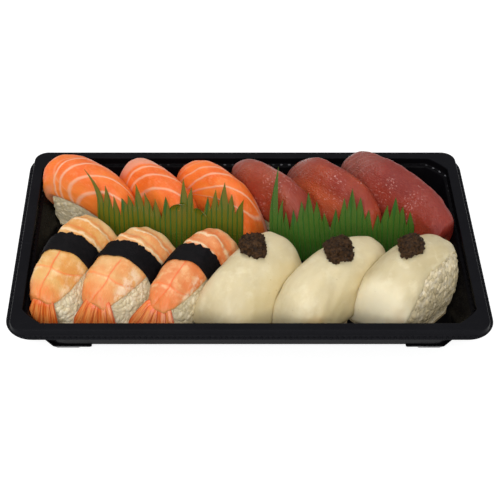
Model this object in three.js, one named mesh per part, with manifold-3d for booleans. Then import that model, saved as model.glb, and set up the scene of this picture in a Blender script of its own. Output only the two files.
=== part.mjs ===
// Takeaway sushi tray: a black thermoformed tray with a lid-lock rim and four corner feet.
// It holds two rows of nigiri that lie aslant and lean on each other: three salmon and three
// tuna at the back, three prawns with a nori band and three squid with a dab of miso in front.
// Two spiked green dividers stand between the rows and lean on the back one.
// Millimetres, +Z up. The origin is on the resting surface, under the middle of the tray.
import * as THREE from "three";
import { mergeVertices } from "three/addons/utils/BufferGeometryUtils.js";
import Module from "manifold-3d";

const wasm = await Module();
wasm.setup();

// ---- Driving dimensions ----

const TRAY = {
  halfLength: 109,
  halfWidth: 67.2,
  height: 24,
  sheet: 0.6, // thickness of the formed plastic
  floor: 2.4, // underside of the floor, above the resting surface
  rimTop: 4.3, // width of the flat top of the rim
  rimInset: 2.6, // from the flange's edge to the top of the rim
  flange: 1.7, // width of the ribbed flange outside the skirt
  skirt: 3, // drop from the rim's top to the flange
  rimFall: 0.5, // how far the rim's inner side leans in
  ledgeDrop: 4, // drop from the rim's top to the ledge inside
  ledge: 1.1,
  wallSlope: 6.2, // how far the inner wall leans in between ledge and floor
  outerCorner: 13, // of the flange
  rimCorner: 6.5, // of the rim's outer edge
  innerCorner: 9,
  innerCornerRoundness: 0.25, // 0 is a straight chamfer, 1 a full arc
  cornerSteps: 3,
};
const FOOT = {
  outerX: 92,
  innerX: 78,
  outerY: 51.7,
  innerY: 38,
  corner: 4.5,
  stepWidth: 4.5,
  stepHeight: 1.3,
  draft: 1.6, // how much wider a foot is at the floor than on the ground
  wall: 2.4, // from a foot's outside to the pocket that is open above
};
const GAP = 0.32; // clearance between pieces that touch
const FLOOR_TOP = TRAY.floor + TRAY.sheet;
const REST = FLOOR_TOP + GAP; // height that the food rests at

// A nigiri's rounded form. It lies along its own x axis. The exponents are of superellipses:
// 1 is round, less is squarer. Those of the ends are for the end at -x and the end at +x.
const FORM = {
  halfLength: 29,
  halfWidth: 12.5,
  height: 29,
  plan: [0.5, 0.5], // how the width falls off towards the ends
  arch: [0.45, 0.45], // how the height falls off towards the ends
  end: 0.72,
  side: 0.75,
  crown: 0.7,
  lean: 0, // sideways shift for each millimetre of height
  bow: 0, // sideways bend of the middle
  rise: 0, // height gained for each millimetre towards the end at -x
};
const RICE = {
  shorter: 3.5, // than the form at each end
  narrower: 1.3,
  lower: 1.5,
  grain: [3.2, 1.6, 1.5], // half sizes
  sizes: [0.88, 1.1], // from the shortest grain to the longest
  tilt: 40, // of a grain out of the level, at most
  sink: 0.5, // of a grain's middle below the core's surface
  reach: 0.8, // how far towards the ends the grains lie, as u
  flank: [0.86, 0.96], // how far down the sides they start at most and end, as v
  step: 0.61803, // golden section, which spreads the grains evenly along the side
};

// Slices of topping: how far they reach over the form, along it and down its two sides (at
// the -x end and at the +x end), with 1 at the form's own edge.
const SLICES = {
  salmon: { thickness: 5, from: -0.93, to: 0.95, left: [0.85, 0.8], right: [0.8, 0.8] },
  tuna: { thickness: 5, from: -0.93, to: 0.96, left: [0.82, 0.82], right: [0.8, 0.9] },
  squid: { thickness: 4.5, from: -0.97, to: 0.92, left: [0.92, 0.82], right: [0.94, 0.86] },
  prawn: { thickness: 3.5, from: -0.86, to: 0.88, left: [0.45, 0.8], right: [0.32, 0.86] },
};
const DRAPE = {
  corner: 0.15, // how much a slice's corners are rounded off
  cornerPower: 5, // how close to the ends that starts
  edge: 0.6, // share of its thickness that a slice loses at its edges
  furthest: 0.97, // as v
  perMillimetre: 0.04, // growth in u and v for each millimetre of room around it
  steps: [9, 5],
};
const NORI = { thickness: 0.4, clear: 0.5, width: 10.5, middle: 0.8, slant: 0.4, reach: 0.93 };
const TAIL = {
  joint: [-0.78, -1.8], // its u on the form, and how deep below the form's surface
  lobes: 3,
  length: 7.5, // half sizes of one lobe
  width: 2.9,
  thickness: 1.2,
  overhang: 0.8, // share of the half length that a lobe's middle lies past the joint
  spread: 46,
  turn: 0,
  droop: 66,
};
const MISO = { lump: 4.8, flatness: 0.62, sink: 0.4, rough: [0.84, 1.12] };

const NEAR = 70; // nigiri that lie closer than this can touch
const REACH = 0.75; // room that a nigiri's own pieces need beyond its form
const OVERHEAD = 120; // height of the open room over the tray
const SIMPLER = { rice: 0.2, other: 0.04 }; // how far a face may move when small ones are merged

const COLOURS = {
  tray: 0x17171a,
  rice: 0xe6e0cf,
  salmon: 0xf0742c,
  tuna: 0xa0443a,
  prawn: 0xf5a565,
  nori: 0x17161a,
  squid: 0xe2d8b0,
  miso: 0x46301f,
  divider: 0x3f6a1e,
};

// Where each nigiri lies, and its own form. Each yields to the ones before it where they touch.
const NIGIRI = [
  {
    name: "squid_3", x: 72.5, y: -25, heading: 46, grains: 14,
    form: {
      halfLength: 27.5, halfWidth: 16.5, height: 34, plan: [0.3, 0.65], arch: [0.75, 0.4],
      end: 0.78, lean: -0.18, bow: 2, rise: 0.02,
    },
    slice: { left: [0.97, 0.8], right: [1.05, 0.2] },
    lumps: [[-0.01, 0.05, 1.05], [-0.01, 0.15, 0.85], [0.08, 0.12, 0.85], [-0.09, 0.01, 0.8]],
  },
  {
    name: "squid_2", x: 37.5, y: -24.5, heading: 45, grains: 3,
    form: {
      halfLength: 33, halfWidth: 14, height: 31, arch: [0.55, 0.5],
      end: 0.78, lean: -0.22, bow: 4.5, rise: -0.02,
    },
    lumps: [[0.01, 0.01, 1.1], [0.01, 0.13, 0.9], [0.1, 0.05, 0.9], [0.03, -0.13, 0.9], [-0.03, -0.07, 0.8]],
  },
  {
    name: "squid_1", x: 0.5, y: -24.5, heading: 50, grains: 3,
    form: {
      halfLength: 29.5, halfWidth: 13, height: 31, plan: [0.2, 0.15], arch: [0.7, 0.45],
      end: 0.78, lean: 0.06, rise: -0.1,
    },
    lumps: [[0.05, 0, 1], [0.01, 0.1, 0.9], [0.17, 0.04, 0.85], [0.04, -0.17, 0.8]],
  },
  {
    name: "prawn_3", x: -23, y: -24, heading: 55, grains: 8,
    form: {
      halfLength: 30.5, halfWidth: 11.5, height: 30.5, plan: [0.45, 0.4], arch: [0.45, 0.55],
      end: 0.68, lean: 0.18, bow: 2.5, rise: -0.15,
    },
    tail: { turn: -20, droop: 52 },
  },
  {
    name: "prawn_2", x: -50.5, y: -24, heading: 58, grains: 9,
    form: {
      halfLength: 30, halfWidth: 13, height: 28.5, plan: [0.55, 0.45], arch: [0.4, 0.55],
      lean: 0.42, bow: 1, rise: -0.07,
    },
  },
  {
    name: "prawn_1", x: -74, y: -24, heading: 63, grains: 11, flanks: 2,
    form: {
      halfWidth: 12, height: 34.5, plan: [0.45, 0.3], arch: [0.1, 0.35],
      end: 0.64, lean: 0.42, bow: 2, rise: -0.15,
    },
    tail: { turn: 10 },
  },
  {
    name: "salmon_1", x: -76, y: 31.5, heading: -32, grains: 8, shorter: 6,
    form: { halfLength: 25, height: 31, arch: [0.29, 0.29], lean: -0.1, bow: 4.9, rise: 0.19 },
    slice: { from: -0.97, right: [0.9, 0.72], corner: 0.05 },
  },
  {
    name: "salmon_2", x: -43.5, y: 31.5, heading: -45, grains: 2,
    form: { halfLength: 25, halfWidth: 10.5, height: 29.5, bow: 1.7, rise: 0.12 },
  },
  {
    name: "salmon_3", x: -13.5, y: 31.5, heading: -43, grains: 2,
    form: {
      halfLength: 26, halfWidth: 10.5, height: 30, plan: [0.6, 0.05], arch: [0.55, 1],
      end: 0.78, lean: -0.08, bow: 3.5, rise: 0.12,
    },
  },
  {
    name: "tuna_1", x: 15, y: 32, heading: -42, grains: 2,
    form: {
      halfLength: 27, halfWidth: 9.5, height: 30.5, plan: [0.7, 0.05], arch: [0.3, 1],
      end: 0.78, lean: -0.06, bow: 1, rise: 0.08,
    },
  },
  {
    name: "tuna_2", x: 41, y: 29.5, heading: -42, grains: 2,
    form: {
      halfLength: 29.5, halfWidth: 9.5, height: 27, plan: [0.6, 0.5], arch: [0.5, 0.55],
      end: 0.78, lean: 0.24, bow: 1.5, rise: 0.1,
    },
  },
  {
    name: "tuna_3", x: 68.5, y: 24, heading: -46, grains: 6, flanks: 2,
    form: {
      halfLength: 33.5, halfWidth: 11, height: 27, plan: [0.5, 0.2], arch: [0.2, 0.1],
      end: 0.76, lean: 0.28, bow: 5, rise: 0.11,
    },
  },
];

// Dividers: a spiked plastic sheet that leans back. Each spike has a tip, and there is a valley
// between it and the next: where it is along x, and its height up the sheet. The two lowest
// tips near the middle of the left one are curled.
const DIVIDER = {
  thickness: 0.5,
  foot: 5, // how far behind the tray's middle it stands
  lean: 0.4, // backwards for each millimetre of height
  shoulder: { height: 0.5, inset: 0.28 }, // a spike's sides bulge here, as shares of its size
};
const DIVIDERS = [
  {
    name: "divider_left", from: -72, to: -1.6,
    tips: [
      [-77.8, 46], [-68, 38], [-64.1, 33], [-60.3, 32], [-57.3, 33.5], [-53.4, 39], [-49.4, 34.5],
      [-44.2, 31.5], [-39.1, 32.5], [-35, 27.5], [-30.6, 41.5], [-26.4, 37], [-22.8, 27],
      [-18.7, 32.5], [-14.9, 36.5], [-10.6, 40], [-7.2, 34], [-1.4, 31],
    ],
    valleys: [
      [-68.9, 29], [-64.6, 26], [-60.9, 23], [-57.6, 28], [-54.2, 27], [-49.5, 27], [-45.3, 25],
      [-41.2, 21], [-37.3, 26], [-32.5, 27], [-28.6, 31], [-25.5, 26], [-21.1, 22.5],
      [-17.4, 25.5], [-13.6, 27], [-8.9, 28.5], [-5.5, 23.5],
    ],
  },
  {
    name: "divider_right", from: 11, to: 81,
    tips: [
      [15, 47.4], [17.3, 31], [18.8, 25], [22.4, 26], [26.3, 30.5], [29.4, 35], [33.5, 30.5],
      [37.2, 24.7], [43, 26.5], [46.9, 32], [50.6, 36.5], [54.8, 32], [58.9, 25.7], [63.3, 23.5],
      [67.8, 28.5], [71.6, 32.3], [75.2, 27.7], [78.7, 25.2],
    ],
    valleys: [
      [15.2, 22.7], [17.8, 18.6], [20.9, 15], [24.3, 18.8], [28, 24.4], [32.2, 23.7], [36.3, 19.6],
      [40.4, 15], [44.5, 19], [48.3, 25.2], [52.9, 25], [57.2, 20], [61, 14.5], [64.7, 18.6],
      [69, 21.4], [73.7, 23.2], [77.2, 17.3],
    ],
  },
];

// ---- Solids ----

const degrees = (angle) => (angle * Math.PI) / 180;
const blend = (a, b, share) => a + (b - a) * share;
const power = (value, exponent) => Math.sign(value) * Math.pow(Math.abs(value), exponent);

// A seeded generator, so that every build is the same.
function seeded(seed) {
  let state = seed >>> 0;
  return () => {
    state = (state + 0x6d2b79f5) >>> 0;
    let mixed = Math.imul(state ^ (state >>> 15), 1 | state);
    mixed = (mixed + Math.imul(mixed ^ (mixed >>> 7), 61 | mixed)) ^ mixed;
    return ((mixed ^ (mixed >>> 14)) >>> 0) / 4294967296;
  };
}

// A closed three.js geometry as a solid, turned right side out.
function solidOf(geometry) {
  const bare = geometry.index ? geometry.toNonIndexed() : geometry;
  const points = new THREE.BufferGeometry().setAttribute("position", bare.getAttribute("position"));
  const merged = mergeVertices(points, 1e-4);
  const build = (triVerts) =>
    new wasm.Manifold(
      new wasm.Mesh({ numProp: 3, vertProperties: merged.attributes.position.array, triVerts }),
    );
  const triangles = new Uint32Array(merged.index.array);
  const solid = build(triangles);
  return solid.volume() > 0 ? solid : build(triangles.reverse());
}

// A solid as a three.js geometry.
function geometryOf(solid) {
  const { vertProperties, triVerts } = solid.getMesh();
  const geometry = new THREE.BufferGeometry();
  geometry.setAttribute("position", new THREE.BufferAttribute(vertProperties, 3));
  geometry.setIndex(new THREE.BufferAttribute(triVerts, 1));
  geometry.computeVertexNormals();
  return geometry;
}

// The largest body of a solid, without the scraps that a cut leaves.
function largestBody(solid) {
  return solid.decompose().reduce((a, b) => (b.volume() > a.volume() ? b : a));
}

function geometryFrom(points, triangles) {
  const geometry = new THREE.BufferGeometry();
  geometry.setAttribute(
    "position",
    new THREE.Float32BufferAttribute(points.flatMap((p) => [p.x, p.y, p.z]), 3),
  );
  geometry.setIndex(triangles);
  return geometry;
}

// A solid through closed loops of equally many points, capped at both ends.
function loft(loops) {
  const count = loops[0].length;
  const points = loops.flat();
  const triangles = [];
  for (let i = 0; i + 1 < loops.length; i++)
    for (let j = 0; j < count; j++) {
      const [a, b] = [i * count + j, i * count + ((j + 1) % count)];
      triangles.push(a, b, b + count, a, b + count, a + count);
    }
  const last = points.length - count;
  for (let j = 1; j + 1 < count; j++)
    triangles.push(0, j + 1, j, last, last + j, last + j + 1);
  return solidOf(geometryFrom(points, triangles));
}

// A solid between two faces, each a grid over s and t from 0 to 1, joined along their edges.
function sheet(outer, inner, stepsS, stepsT) {
  const points = [];
  const triangles = [];
  const row = stepsT + 1;
  const face = (stepsS + 1) * row;
  for (const surface of [outer, inner])
    for (let i = 0; i <= stepsS; i++)
      for (let j = 0; j <= stepsT; j++) points.push(surface(i / stepsS, j / stepsT));
  for (let i = 0; i < stepsS; i++)
    for (let j = 0; j < stepsT; j++) {
      const a = i * row + j;
      const [b, c, d] = [a + 1, a + row + 1, a + row];
      triangles.push(a, b, c, a, c, d);
      triangles.push(face + a, face + c, face + b, face + a, face + d, face + c);
    }
  const rim = (a, b) => triangles.push(a, face + a, face + b, a, face + b, b);
  for (let i = 0; i < stepsS; i++) {
    rim((i + 1) * row, i * row);
    rim(i * row + stepsT, (i + 1) * row + stepsT);
  }
  for (let j = 0; j < stepsT; j++) {
    rim(j, j + 1);
    rim(stepsS * row + j + 1, stepsS * row + j);
  }
  return solidOf(geometryFrom(points, triangles));
}

function mesh(name, solid, kind) {
  const roughness = kind === "tray" ? 0.35 : 0.55;
  const material = new THREE.MeshStandardMaterial({ color: COLOURS[kind], roughness });
  const made = new THREE.Mesh(geometryOf(solid), material);
  made.name = name;
  return made;
}

// ---- Tray ----

// A rectangle's outline whose corners run from a chamfer (roundness 0) to an arc (1).
function outline(halfX, halfY, corner, roundness, z) {
  const points = [];
  for (const [signX, signY] of [[1, -1], [1, 1], [-1, 1], [-1, -1]])
    for (let i = 0; i <= TRAY.cornerSteps; i++) {
      const share = i / TRAY.cornerSteps;
      const turn = signX === signY ? share : 1 - share;
      const arcX = Math.cos(degrees(90 * turn)) - 1;
      const arcY = Math.sin(degrees(90 * turn)) - 1;
      const x = halfX + corner * blend(-turn, arcX, roundness);
      const y = halfY + corner * blend(turn - 1, arcY, roundness);
      points.push(new THREE.Vector3(signX * x, signY * y, z));
    }
  return points;
}

// The tray's section, from the middle of the floor over the rim and back underneath:
// inset from the flange's edge, height, corner size and corner roundness of each ring.
function traySection() {
  const t = TRAY.sheet;
  const rimInner = TRAY.rimInset + TRAY.rimTop;
  const ledgeOuter = rimInner + TRAY.rimFall;
  const ledgeInner = ledgeOuter + TRAY.ledge;
  const wallFoot = ledgeInner + TRAY.wallSlope;
  const ledgeHeight = TRAY.height - TRAY.ledgeDrop;
  const flangeHeight = TRAY.height - TRAY.skirt;
  const [inner, round] = [TRAY.innerCorner, TRAY.innerCornerRoundness];
  const edge = 0.3; // rounding of the rim's edges
  const toe = 1.2; // rounding between wall and floor
  return [
    [wallFoot + toe, FLOOR_TOP, inner - 2, 0.6],
    [wallFoot, FLOOR_TOP + toe, inner - 1, 0.5],
    [ledgeInner, ledgeHeight, inner, round],
    [ledgeOuter, ledgeHeight + 0.2, inner, round],
    [rimInner + edge, TRAY.height - edge, inner, round],
    [rimInner, TRAY.height, inner, round],
    [TRAY.rimInset, TRAY.height, TRAY.rimCorner, 1],
    [TRAY.rimInset - edge, TRAY.height - edge, TRAY.rimCorner + edge, 1],
    [TRAY.flange, flangeHeight, TRAY.rimCorner + 2, 1],
    [0, flangeHeight - 0.2, TRAY.outerCorner, 1],
    [0, flangeHeight - 0.2 - t, TRAY.outerCorner, 1],
    [TRAY.flange + t, flangeHeight - t, TRAY.rimCorner + 1.5, 1],
    [TRAY.rimInset + t, TRAY.height - t, TRAY.rimCorner - t, 1],
    [rimInner - t, TRAY.height - t, inner + t, round],
    [ledgeOuter - t, ledgeHeight - t, inner + t, round],
    [ledgeInner - t, ledgeHeight - t, inner + t, round],
    [wallFoot - t, FLOOR_TOP + toe - t, inner - 1 + t, 0.5],
    [wallFoot + toe - t, TRAY.floor, inner - 2 + t, 0.6],
  ];
}

// One foot's block between two heights: the outline grows by the draft towards the floor.
function footBlock(innerX, low, high, inset) {
  const loop = (z) => {
    const grow = (FOOT.draft * z) / TRAY.floor - inset;
    const [left, right] = [innerX - grow, FOOT.outerX + grow];
    const [near, far] = [FOOT.innerY - grow, FOOT.outerY + grow];
    const cut = FOOT.corner;
    return [
      new THREE.Vector3(left, near, z),
      new THREE.Vector3(right, near, z),
      new THREE.Vector3(right, far - cut, z),
      new THREE.Vector3(right - cut, far, z),
      new THREE.Vector3(left, far, z),
    ];
  };
  return loft([loop(low), loop(high)]);
}

function buildTray() {
  const rings = traySection().map(([inset, z, corner, roundness]) =>
    outline(TRAY.halfLength - inset, TRAY.halfWidth - inset, corner, roundness, z),
  );
  let tray = loft(rings);
  const underside = TRAY.floor + TRAY.sheet / 2;
  const pad = footBlock(FOOT.innerX, 0, underside, 0);
  const step = footBlock(FOOT.innerX - FOOT.stepWidth, FOOT.stepHeight, underside, 0);
  const pocket = footBlock(FOOT.innerX, TRAY.sheet, FLOOR_TOP + 1, FOOT.wall);
  for (const [signX, signY] of [[1, 1], [1, -1], [-1, 1], [-1, -1]]) {
    const corner = (block) => block.scale([signX, signY, 1]);
    tray = tray.add(corner(pad)).add(corner(step)).subtract(corner(pocket));
  }
  return mesh("tray", tray, "tray");
}

// The room inside the tray that the food keeps to, open above the rim.
function buildRoom() {
  const section = traySection().slice(0, 6);
  const rings = section.map(([inset, z, corner, roundness]) => [inset + GAP, z + GAP, corner, roundness]);
  const [, top, corner, roundness] = rings[rings.length - 1];
  const outside = -TRAY.halfWidth;
  rings.push([outside, top + 0.05, corner, roundness], [outside, OVERHEAD, corner, roundness]);
  return loft(
    rings.map(([inset, z, size, round]) =>
      outline(TRAY.halfLength - inset, TRAY.halfWidth - inset, size, round, z),
    ),
  );
}

// ---- Dividers ----

// A point on a divider's middle plane: x along the tray and a height up the sheet.
function dividerPoint(x, height, offset) {
  const steep = Math.hypot(1, DIVIDER.lean);
  const y = DIVIDER.foot + (DIVIDER.lean * height) / steep;
  return new THREE.Vector3(x, y + offset, REST + height / steep);
}

function buildDivider({ from, to, tips, valleys }) {
  const { shoulder } = DIVIDER;
  const last = valleys.length - 1;
  const low = [[from, valleys[0][1]], ...valleys, [to, valleys[last][1]]];
  const columns = []; // x at the foot, x at the top and height of each
  for (const [i, [x, height]] of tips.entries()) {
    const [[left, leftHeight], [right, rightHeight]] = [low[i], low[i + 1]];
    const side = (near, high) => [blend(near, x, shoulder.inset), blend(high, height, shoulder.height)];
    columns.push([left, left, leftHeight]);
    columns.push([blend(left, right, 0.25), ...side(left, leftHeight)]);
    columns.push([blend(left, right, 0.5), x, height]);
    columns.push([blend(left, right, 0.75), ...side(right, rightHeight)]);
  }
  columns.push([to, to, valleys[last][1]]);
  const steps = columns.length - 1;
  const face = (offset) => (s, t) => {
    const [foot, top, height] = columns[Math.round(s * steps)];
    return dividerPoint(blend(foot, top, t), height * t, offset);
  };
  return sheet(face(DIVIDER.thickness / 2), face(-DIVIDER.thickness / 2), steps, 1);
}

// The slab that the food leaves free for a divider.
function dividerRoom({ from, to, tips }) {
  const tallest = Math.max(...tips.map(([, height]) => height));
  const half = DIVIDER.thickness / 2 + GAP + 0.05;
  const face = (offset) => (s, t) =>
    dividerPoint(blend(from - 1, to + 1, s), blend(-1, tallest + 2, t), offset);
  return sheet(face(half), face(-half), 1, 1);
}

// ---- Nigiri ----

// A point on a nigiri's form: u runs along it and v across it, from -1 to 1 each. The form
// rises from its own floor at z = 0, and grow moves the surface out.
function formPoint(form, u, v, grow) {
  const [along, across] = [degrees(90 * u), degrees(90 * v)];
  const falloff = Math.max(Math.cos(along), 0);
  const end = u < 0 ? 0 : 1;
  const x = (form.halfLength + grow) * power(Math.sin(along), form.end);
  const tall = form.height + grow + form.rise * (form.halfLength - x);
  const z = tall * Math.pow(falloff, form.arch[end]) * Math.pow(Math.max(Math.cos(across), 0), form.crown);
  const wide = (form.halfWidth + grow) * Math.pow(falloff, form.plan[end]);
  const bend = form.bow * (1 - (x / form.halfLength) ** 2);
  return new THREE.Vector3(x, wide * power(Math.sin(across), form.side) + form.lean * z + bend, z);
}

// The u at which the form's surface has a given x.
function formAt(form, x) {
  const sine = Math.pow(Math.min(Math.abs(x) / form.halfLength, 1), 1 / form.end);
  return (Math.sign(x) * Math.asin(sine)) / degrees(90);
}

// The whole form as a closed solid, with a small face at each tip. It reaches below its floor,
// so that a cut with it leaves no film there.
function dome(form, grow, stepsU, stepsV) {
  const tip = 0.985;
  const loops = [];
  for (let i = 0; i <= stepsU; i++) {
    const u = tip * Math.sin(degrees(90 * blend(-1, 1, i / stepsU)));
    const loop = [];
    for (let j = 0; j <= stepsV; j++) loop.push(formPoint(form, u, blend(-1, 1, j / stepsV), grow));
    loop[0].z = loop[stepsV].z = -1;
    loops.push(loop);
  }
  return loft(loops);
}

// A slice of topping draped over the form. Spare is room around it, on every side.
function drape(form, slice, spare = 0) {
  const along = spare * DRAPE.perMillimetre;
  const at = (s, t, under) => {
    const u = blend(slice.from - along, slice.to + along, s);
    const corner = 1 - (slice.corner ?? DRAPE.corner) * Math.abs(2 * s - 1) ** DRAPE.cornerPower;
    const right = blend(...slice.right, (u + 1) / 2) * corner + along;
    const left = blend(...slice.left, (u + 1) / 2) * corner + along;
    const v = blend(-Math.min(right, DRAPE.furthest), Math.min(left, DRAPE.furthest), t);
    const edge = Math.max(Math.abs(2 * s - 1) ** 6, Math.abs(2 * t - 1) ** 4);
    const thickness = slice.thickness * (1 - DRAPE.edge * edge);
    return formPoint(form, u, v, under ? -thickness - spare : spare);
  };
  return sheet((s, t) => at(s, t, false), (s, t) => at(s, t, true), ...DRAPE.steps);
}

// The strip of nori round a prawn, from one side of the rice over to the other.
function noriBand(form, spare) {
  const at = (s, t, grow) => {
    const v = (NORI.reach + DRAPE.perMillimetre * spare) * blend(-1, 1, t);
    const slant = NORI.slant * form.halfWidth * power(Math.sin(degrees(90 * v)), form.side);
    const x = NORI.middle - slant + (NORI.width + 2 * spare) * (s - 0.5);
    return formPoint(form, formAt(form, x), v, grow);
  };
  const low = spare ? -1 : NORI.clear;
  const high = NORI.clear + NORI.thickness + spare;
  return sheet((s, t) => at(s, t, high), (s, t) => at(s, t, low), 2, 10);
}

// The fan of a prawn's tail, flat lobes that spread from the joint and droop.
function tailFan(form, tail, spare) {
  const joint = formPoint(form, tail.joint[0], 0, tail.joint[1]);
  const droop = new THREE.Matrix4().makeRotationY(degrees(-tail.droop));
  const turned = new THREE.Matrix4().makeRotationZ(degrees(tail.turn)).multiply(droop);
  let fan = null;
  for (let i = 0; i < tail.lobes; i++) {
    const spread = tail.spread * (i / (tail.lobes - 1) - 0.5);
    const lobe = new THREE.SphereGeometry(1, 6, 4).rotateZ(Math.PI / 2);
    lobe.scale(tail.length + spare, tail.width + spare, tail.thickness + spare);
    lobe.translate(-tail.length * tail.overhang, 0, 0);
    lobe.applyMatrix4(new THREE.Matrix4().makeRotationZ(degrees(spread)));
    lobe.applyMatrix4(turned.clone().setPosition(joint));
    const solid = solidOf(lobe);
    fan = fan ? fan.add(solid) : solid;
  }
  return fan;
}

// A dab of miso: rough lumps run together on top of a slice.
function misoDab(form, lumps, random) {
  let dab = null;
  for (const [index, [u, v, size]] of lumps.entries()) {
    const lump = new THREE.IcosahedronGeometry(MISO.lump * size, index ? 0 : 1);
    const bumps = lump.getAttribute("position");
    const seen = new Map();
    for (let i = 0; i < bumps.count; i++) {
      const point = new THREE.Vector3().fromBufferAttribute(bumps, i);
      const key = point.toArray().map((value) => Math.round(value * 100)).join();
      if (!seen.has(key)) seen.set(key, blend(...MISO.rough, random()));
      point.multiplyScalar(seen.get(key));
      bumps.setXYZ(i, point.x, point.y, point.z * MISO.flatness);
    }
    const place = formPoint(form, u, v, MISO.lump * MISO.flatness * MISO.sink);
    const solid = solidOf(lump.translate(place.x, place.y, place.z));
    dab = dab ? dab.add(solid) : solid;
  }
  return dab;
}

// A cooked grain, lying any way round.
function grain(place, random) {
  const body = new THREE.SphereGeometry(1, 4, 3).rotateZ(Math.PI / 2);
  const [length, width, thickness] = RICE.grain;
  body.scale(length * blend(...RICE.sizes, random()), width, thickness);
  const [roll, tilt, heading] = [360 * random(), RICE.tilt * blend(-1, 1, random()), 360 * random()];
  const turn = new THREE.Euler(degrees(roll), degrees(tilt), degrees(heading));
  body.applyMatrix4(new THREE.Matrix4().makeRotationFromEuler(turn).setPosition(place));
  return solidOf(body);
}

// The rice block: a smooth core with the grains that show along its flanks fused on.
function buildRice(form, slice, { grains, flanks, shorter = RICE.shorter }, random) {
  const core = {
    ...form,
    halfLength: form.halfLength - shorter,
    halfWidth: form.halfWidth - RICE.narrower,
    height: form.height - RICE.lower,
  };
  const [start, end] = RICE.flank;
  let rice = dome(core, 0, 8, 6);
  for (let i = 0; i < grains; i++) {
    const u = RICE.reach * blend(-1, 1, (i * RICE.step) % 1);
    const side = i % 3 === 2 && flanks === 2 ? 1 : -1;
    const cover = side < 0 ? slice.right : slice.left;
    const edge = Math.min(blend(...cover, (u + 1) / 2) - 0.04, start);
    const place = formPoint(core, u, side * blend(edge, end, random()), -RICE.sink);
    place.z = Math.max(place.z, RICE.grain[2] + 0.1);
    rice = rice.add(grain(place, random));
  }
  return rice;
}

// ---- Assembly ----

const root = new THREE.Group();
root.add(buildTray());
for (const divider of DIVIDERS) root.add(mesh(divider.name, buildDivider(divider), "divider"));

const room = DIVIDERS.reduce((free, divider) => free.subtract(dividerRoom(divider)), buildRoom());
const placed = [];
for (const [index, item] of NIGIRI.entries()) {
  const kind = item.name.split("_")[0];
  const form = { ...FORM, ...item.form };
  const slice = { ...SLICES[kind], ...item.slice };
  const random = seeded(100 + index);
  const group = new THREE.Group();
  group.name = `${item.name}_group`;
  group.position.set(item.x, item.y, REST);
  group.rotation.z = degrees(item.heading);
  group.updateMatrixWorld(true);

  const inverse = group.matrixWorld.clone().invert();
  let free = room.transform(inverse.elements);
  for (const other of placed)
    if (Math.hypot(other.item.x - item.x, other.item.y - item.y) < NEAR)
      free = free.subtract(other.reach.transform(inverse.clone().multiply(other.matrix).elements));

  let reach = dome(form, GAP + REACH, 9, 8);
  let rice = buildRice(form, slice, item, random).subtract(drape(form, slice, GAP));
  let topping = drape(form, slice);
  const pieces = [];
  if (kind === "prawn") {
    const tail = { ...TAIL, ...item.tail };
    topping = topping.add(tailFan(form, tail, 0));
    rice = rice.subtract(tailFan(form, tail, GAP)).subtract(noriBand(form, GAP));
    pieces.push([`nori_${item.name.slice(-1)}`, noriBand(form, 0), "nori"]);
    reach = reach.add(noriBand(form, GAP + 0.1)).add(tailFan(form, tail, GAP));
  }
  if (kind === "squid") {
    const dab = misoDab(form, item.lumps, random).subtract(drape(form, slice, GAP));
    pieces.push([`miso_${item.name.slice(-1)}`, dab, "miso"]);
  }
  pieces.push([`rice_${item.name}`, rice, "rice"], [item.name, topping, kind]);
  for (const [name, solid, look] of pieces) {
    const body = largestBody(solid.intersect(free));
    group.add(mesh(name, body.simplify(SIMPLER[look] ?? SIMPLER.other), look));
  }
  root.add(group);
  placed.push({ item, matrix: group.matrixWorld.clone(), reach });
}

export default root;
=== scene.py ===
"""Takeaway sushi tray: the finish of its tray, dividers, rice and toppings.

Sizes are in millimetres until a mesh is made. The tray's long side runs along X, the front row is
at negative Y, and Z is up from the table.
"""
import math
import random

import bpy
import numpy as np
from mathutils import Euler, Matrix, Vector, noise


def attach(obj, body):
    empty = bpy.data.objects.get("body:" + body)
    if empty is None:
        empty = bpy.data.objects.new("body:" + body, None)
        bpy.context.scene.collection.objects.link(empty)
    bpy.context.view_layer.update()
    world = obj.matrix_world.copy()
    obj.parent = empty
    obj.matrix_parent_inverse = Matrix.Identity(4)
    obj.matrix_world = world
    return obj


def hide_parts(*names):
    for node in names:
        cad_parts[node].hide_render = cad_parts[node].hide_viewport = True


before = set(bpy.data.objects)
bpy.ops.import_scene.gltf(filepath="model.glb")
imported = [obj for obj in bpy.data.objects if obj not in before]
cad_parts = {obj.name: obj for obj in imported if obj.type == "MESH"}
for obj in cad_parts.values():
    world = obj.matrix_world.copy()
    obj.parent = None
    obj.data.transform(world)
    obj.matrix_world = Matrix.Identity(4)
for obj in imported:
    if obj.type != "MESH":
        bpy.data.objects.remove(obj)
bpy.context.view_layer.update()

MM = 0.001
REST = 3.32  # height that the food rests at

# ---- Sizes ----

# The tray's half sizes, the heights of its rim, ledge, flange and floor, and its thickness.
TRAY = dict(half_long=109, half_wide=67.2, rim=24, ledge=20, flange=20.8, floor=2.4, sheet=0.6)

# A nigiri's rounded form. Long and wide are half sizes. Plan and arch say how its width and its
# height fall off towards the end at -x and the end at +x; end, side and crown how blunt its ends,
# sides and top are. They are exponents: 1 is round, less is squarer. Lean moves it sideways and
# rise lifts it by a share of a millimetre for each millimetre up and towards -x, bow bends its
# middle sideways, and flare spreads its foot on the right.
FORM = dict(
    long=29, wide=12.5, tall=29, plan=(0.5, 0.5), arch=(0.45, 0.45), end=0.72, side=0.75, crown=0.7,
    lean=0, bow=0, rise=0, flare=0,
)

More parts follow.
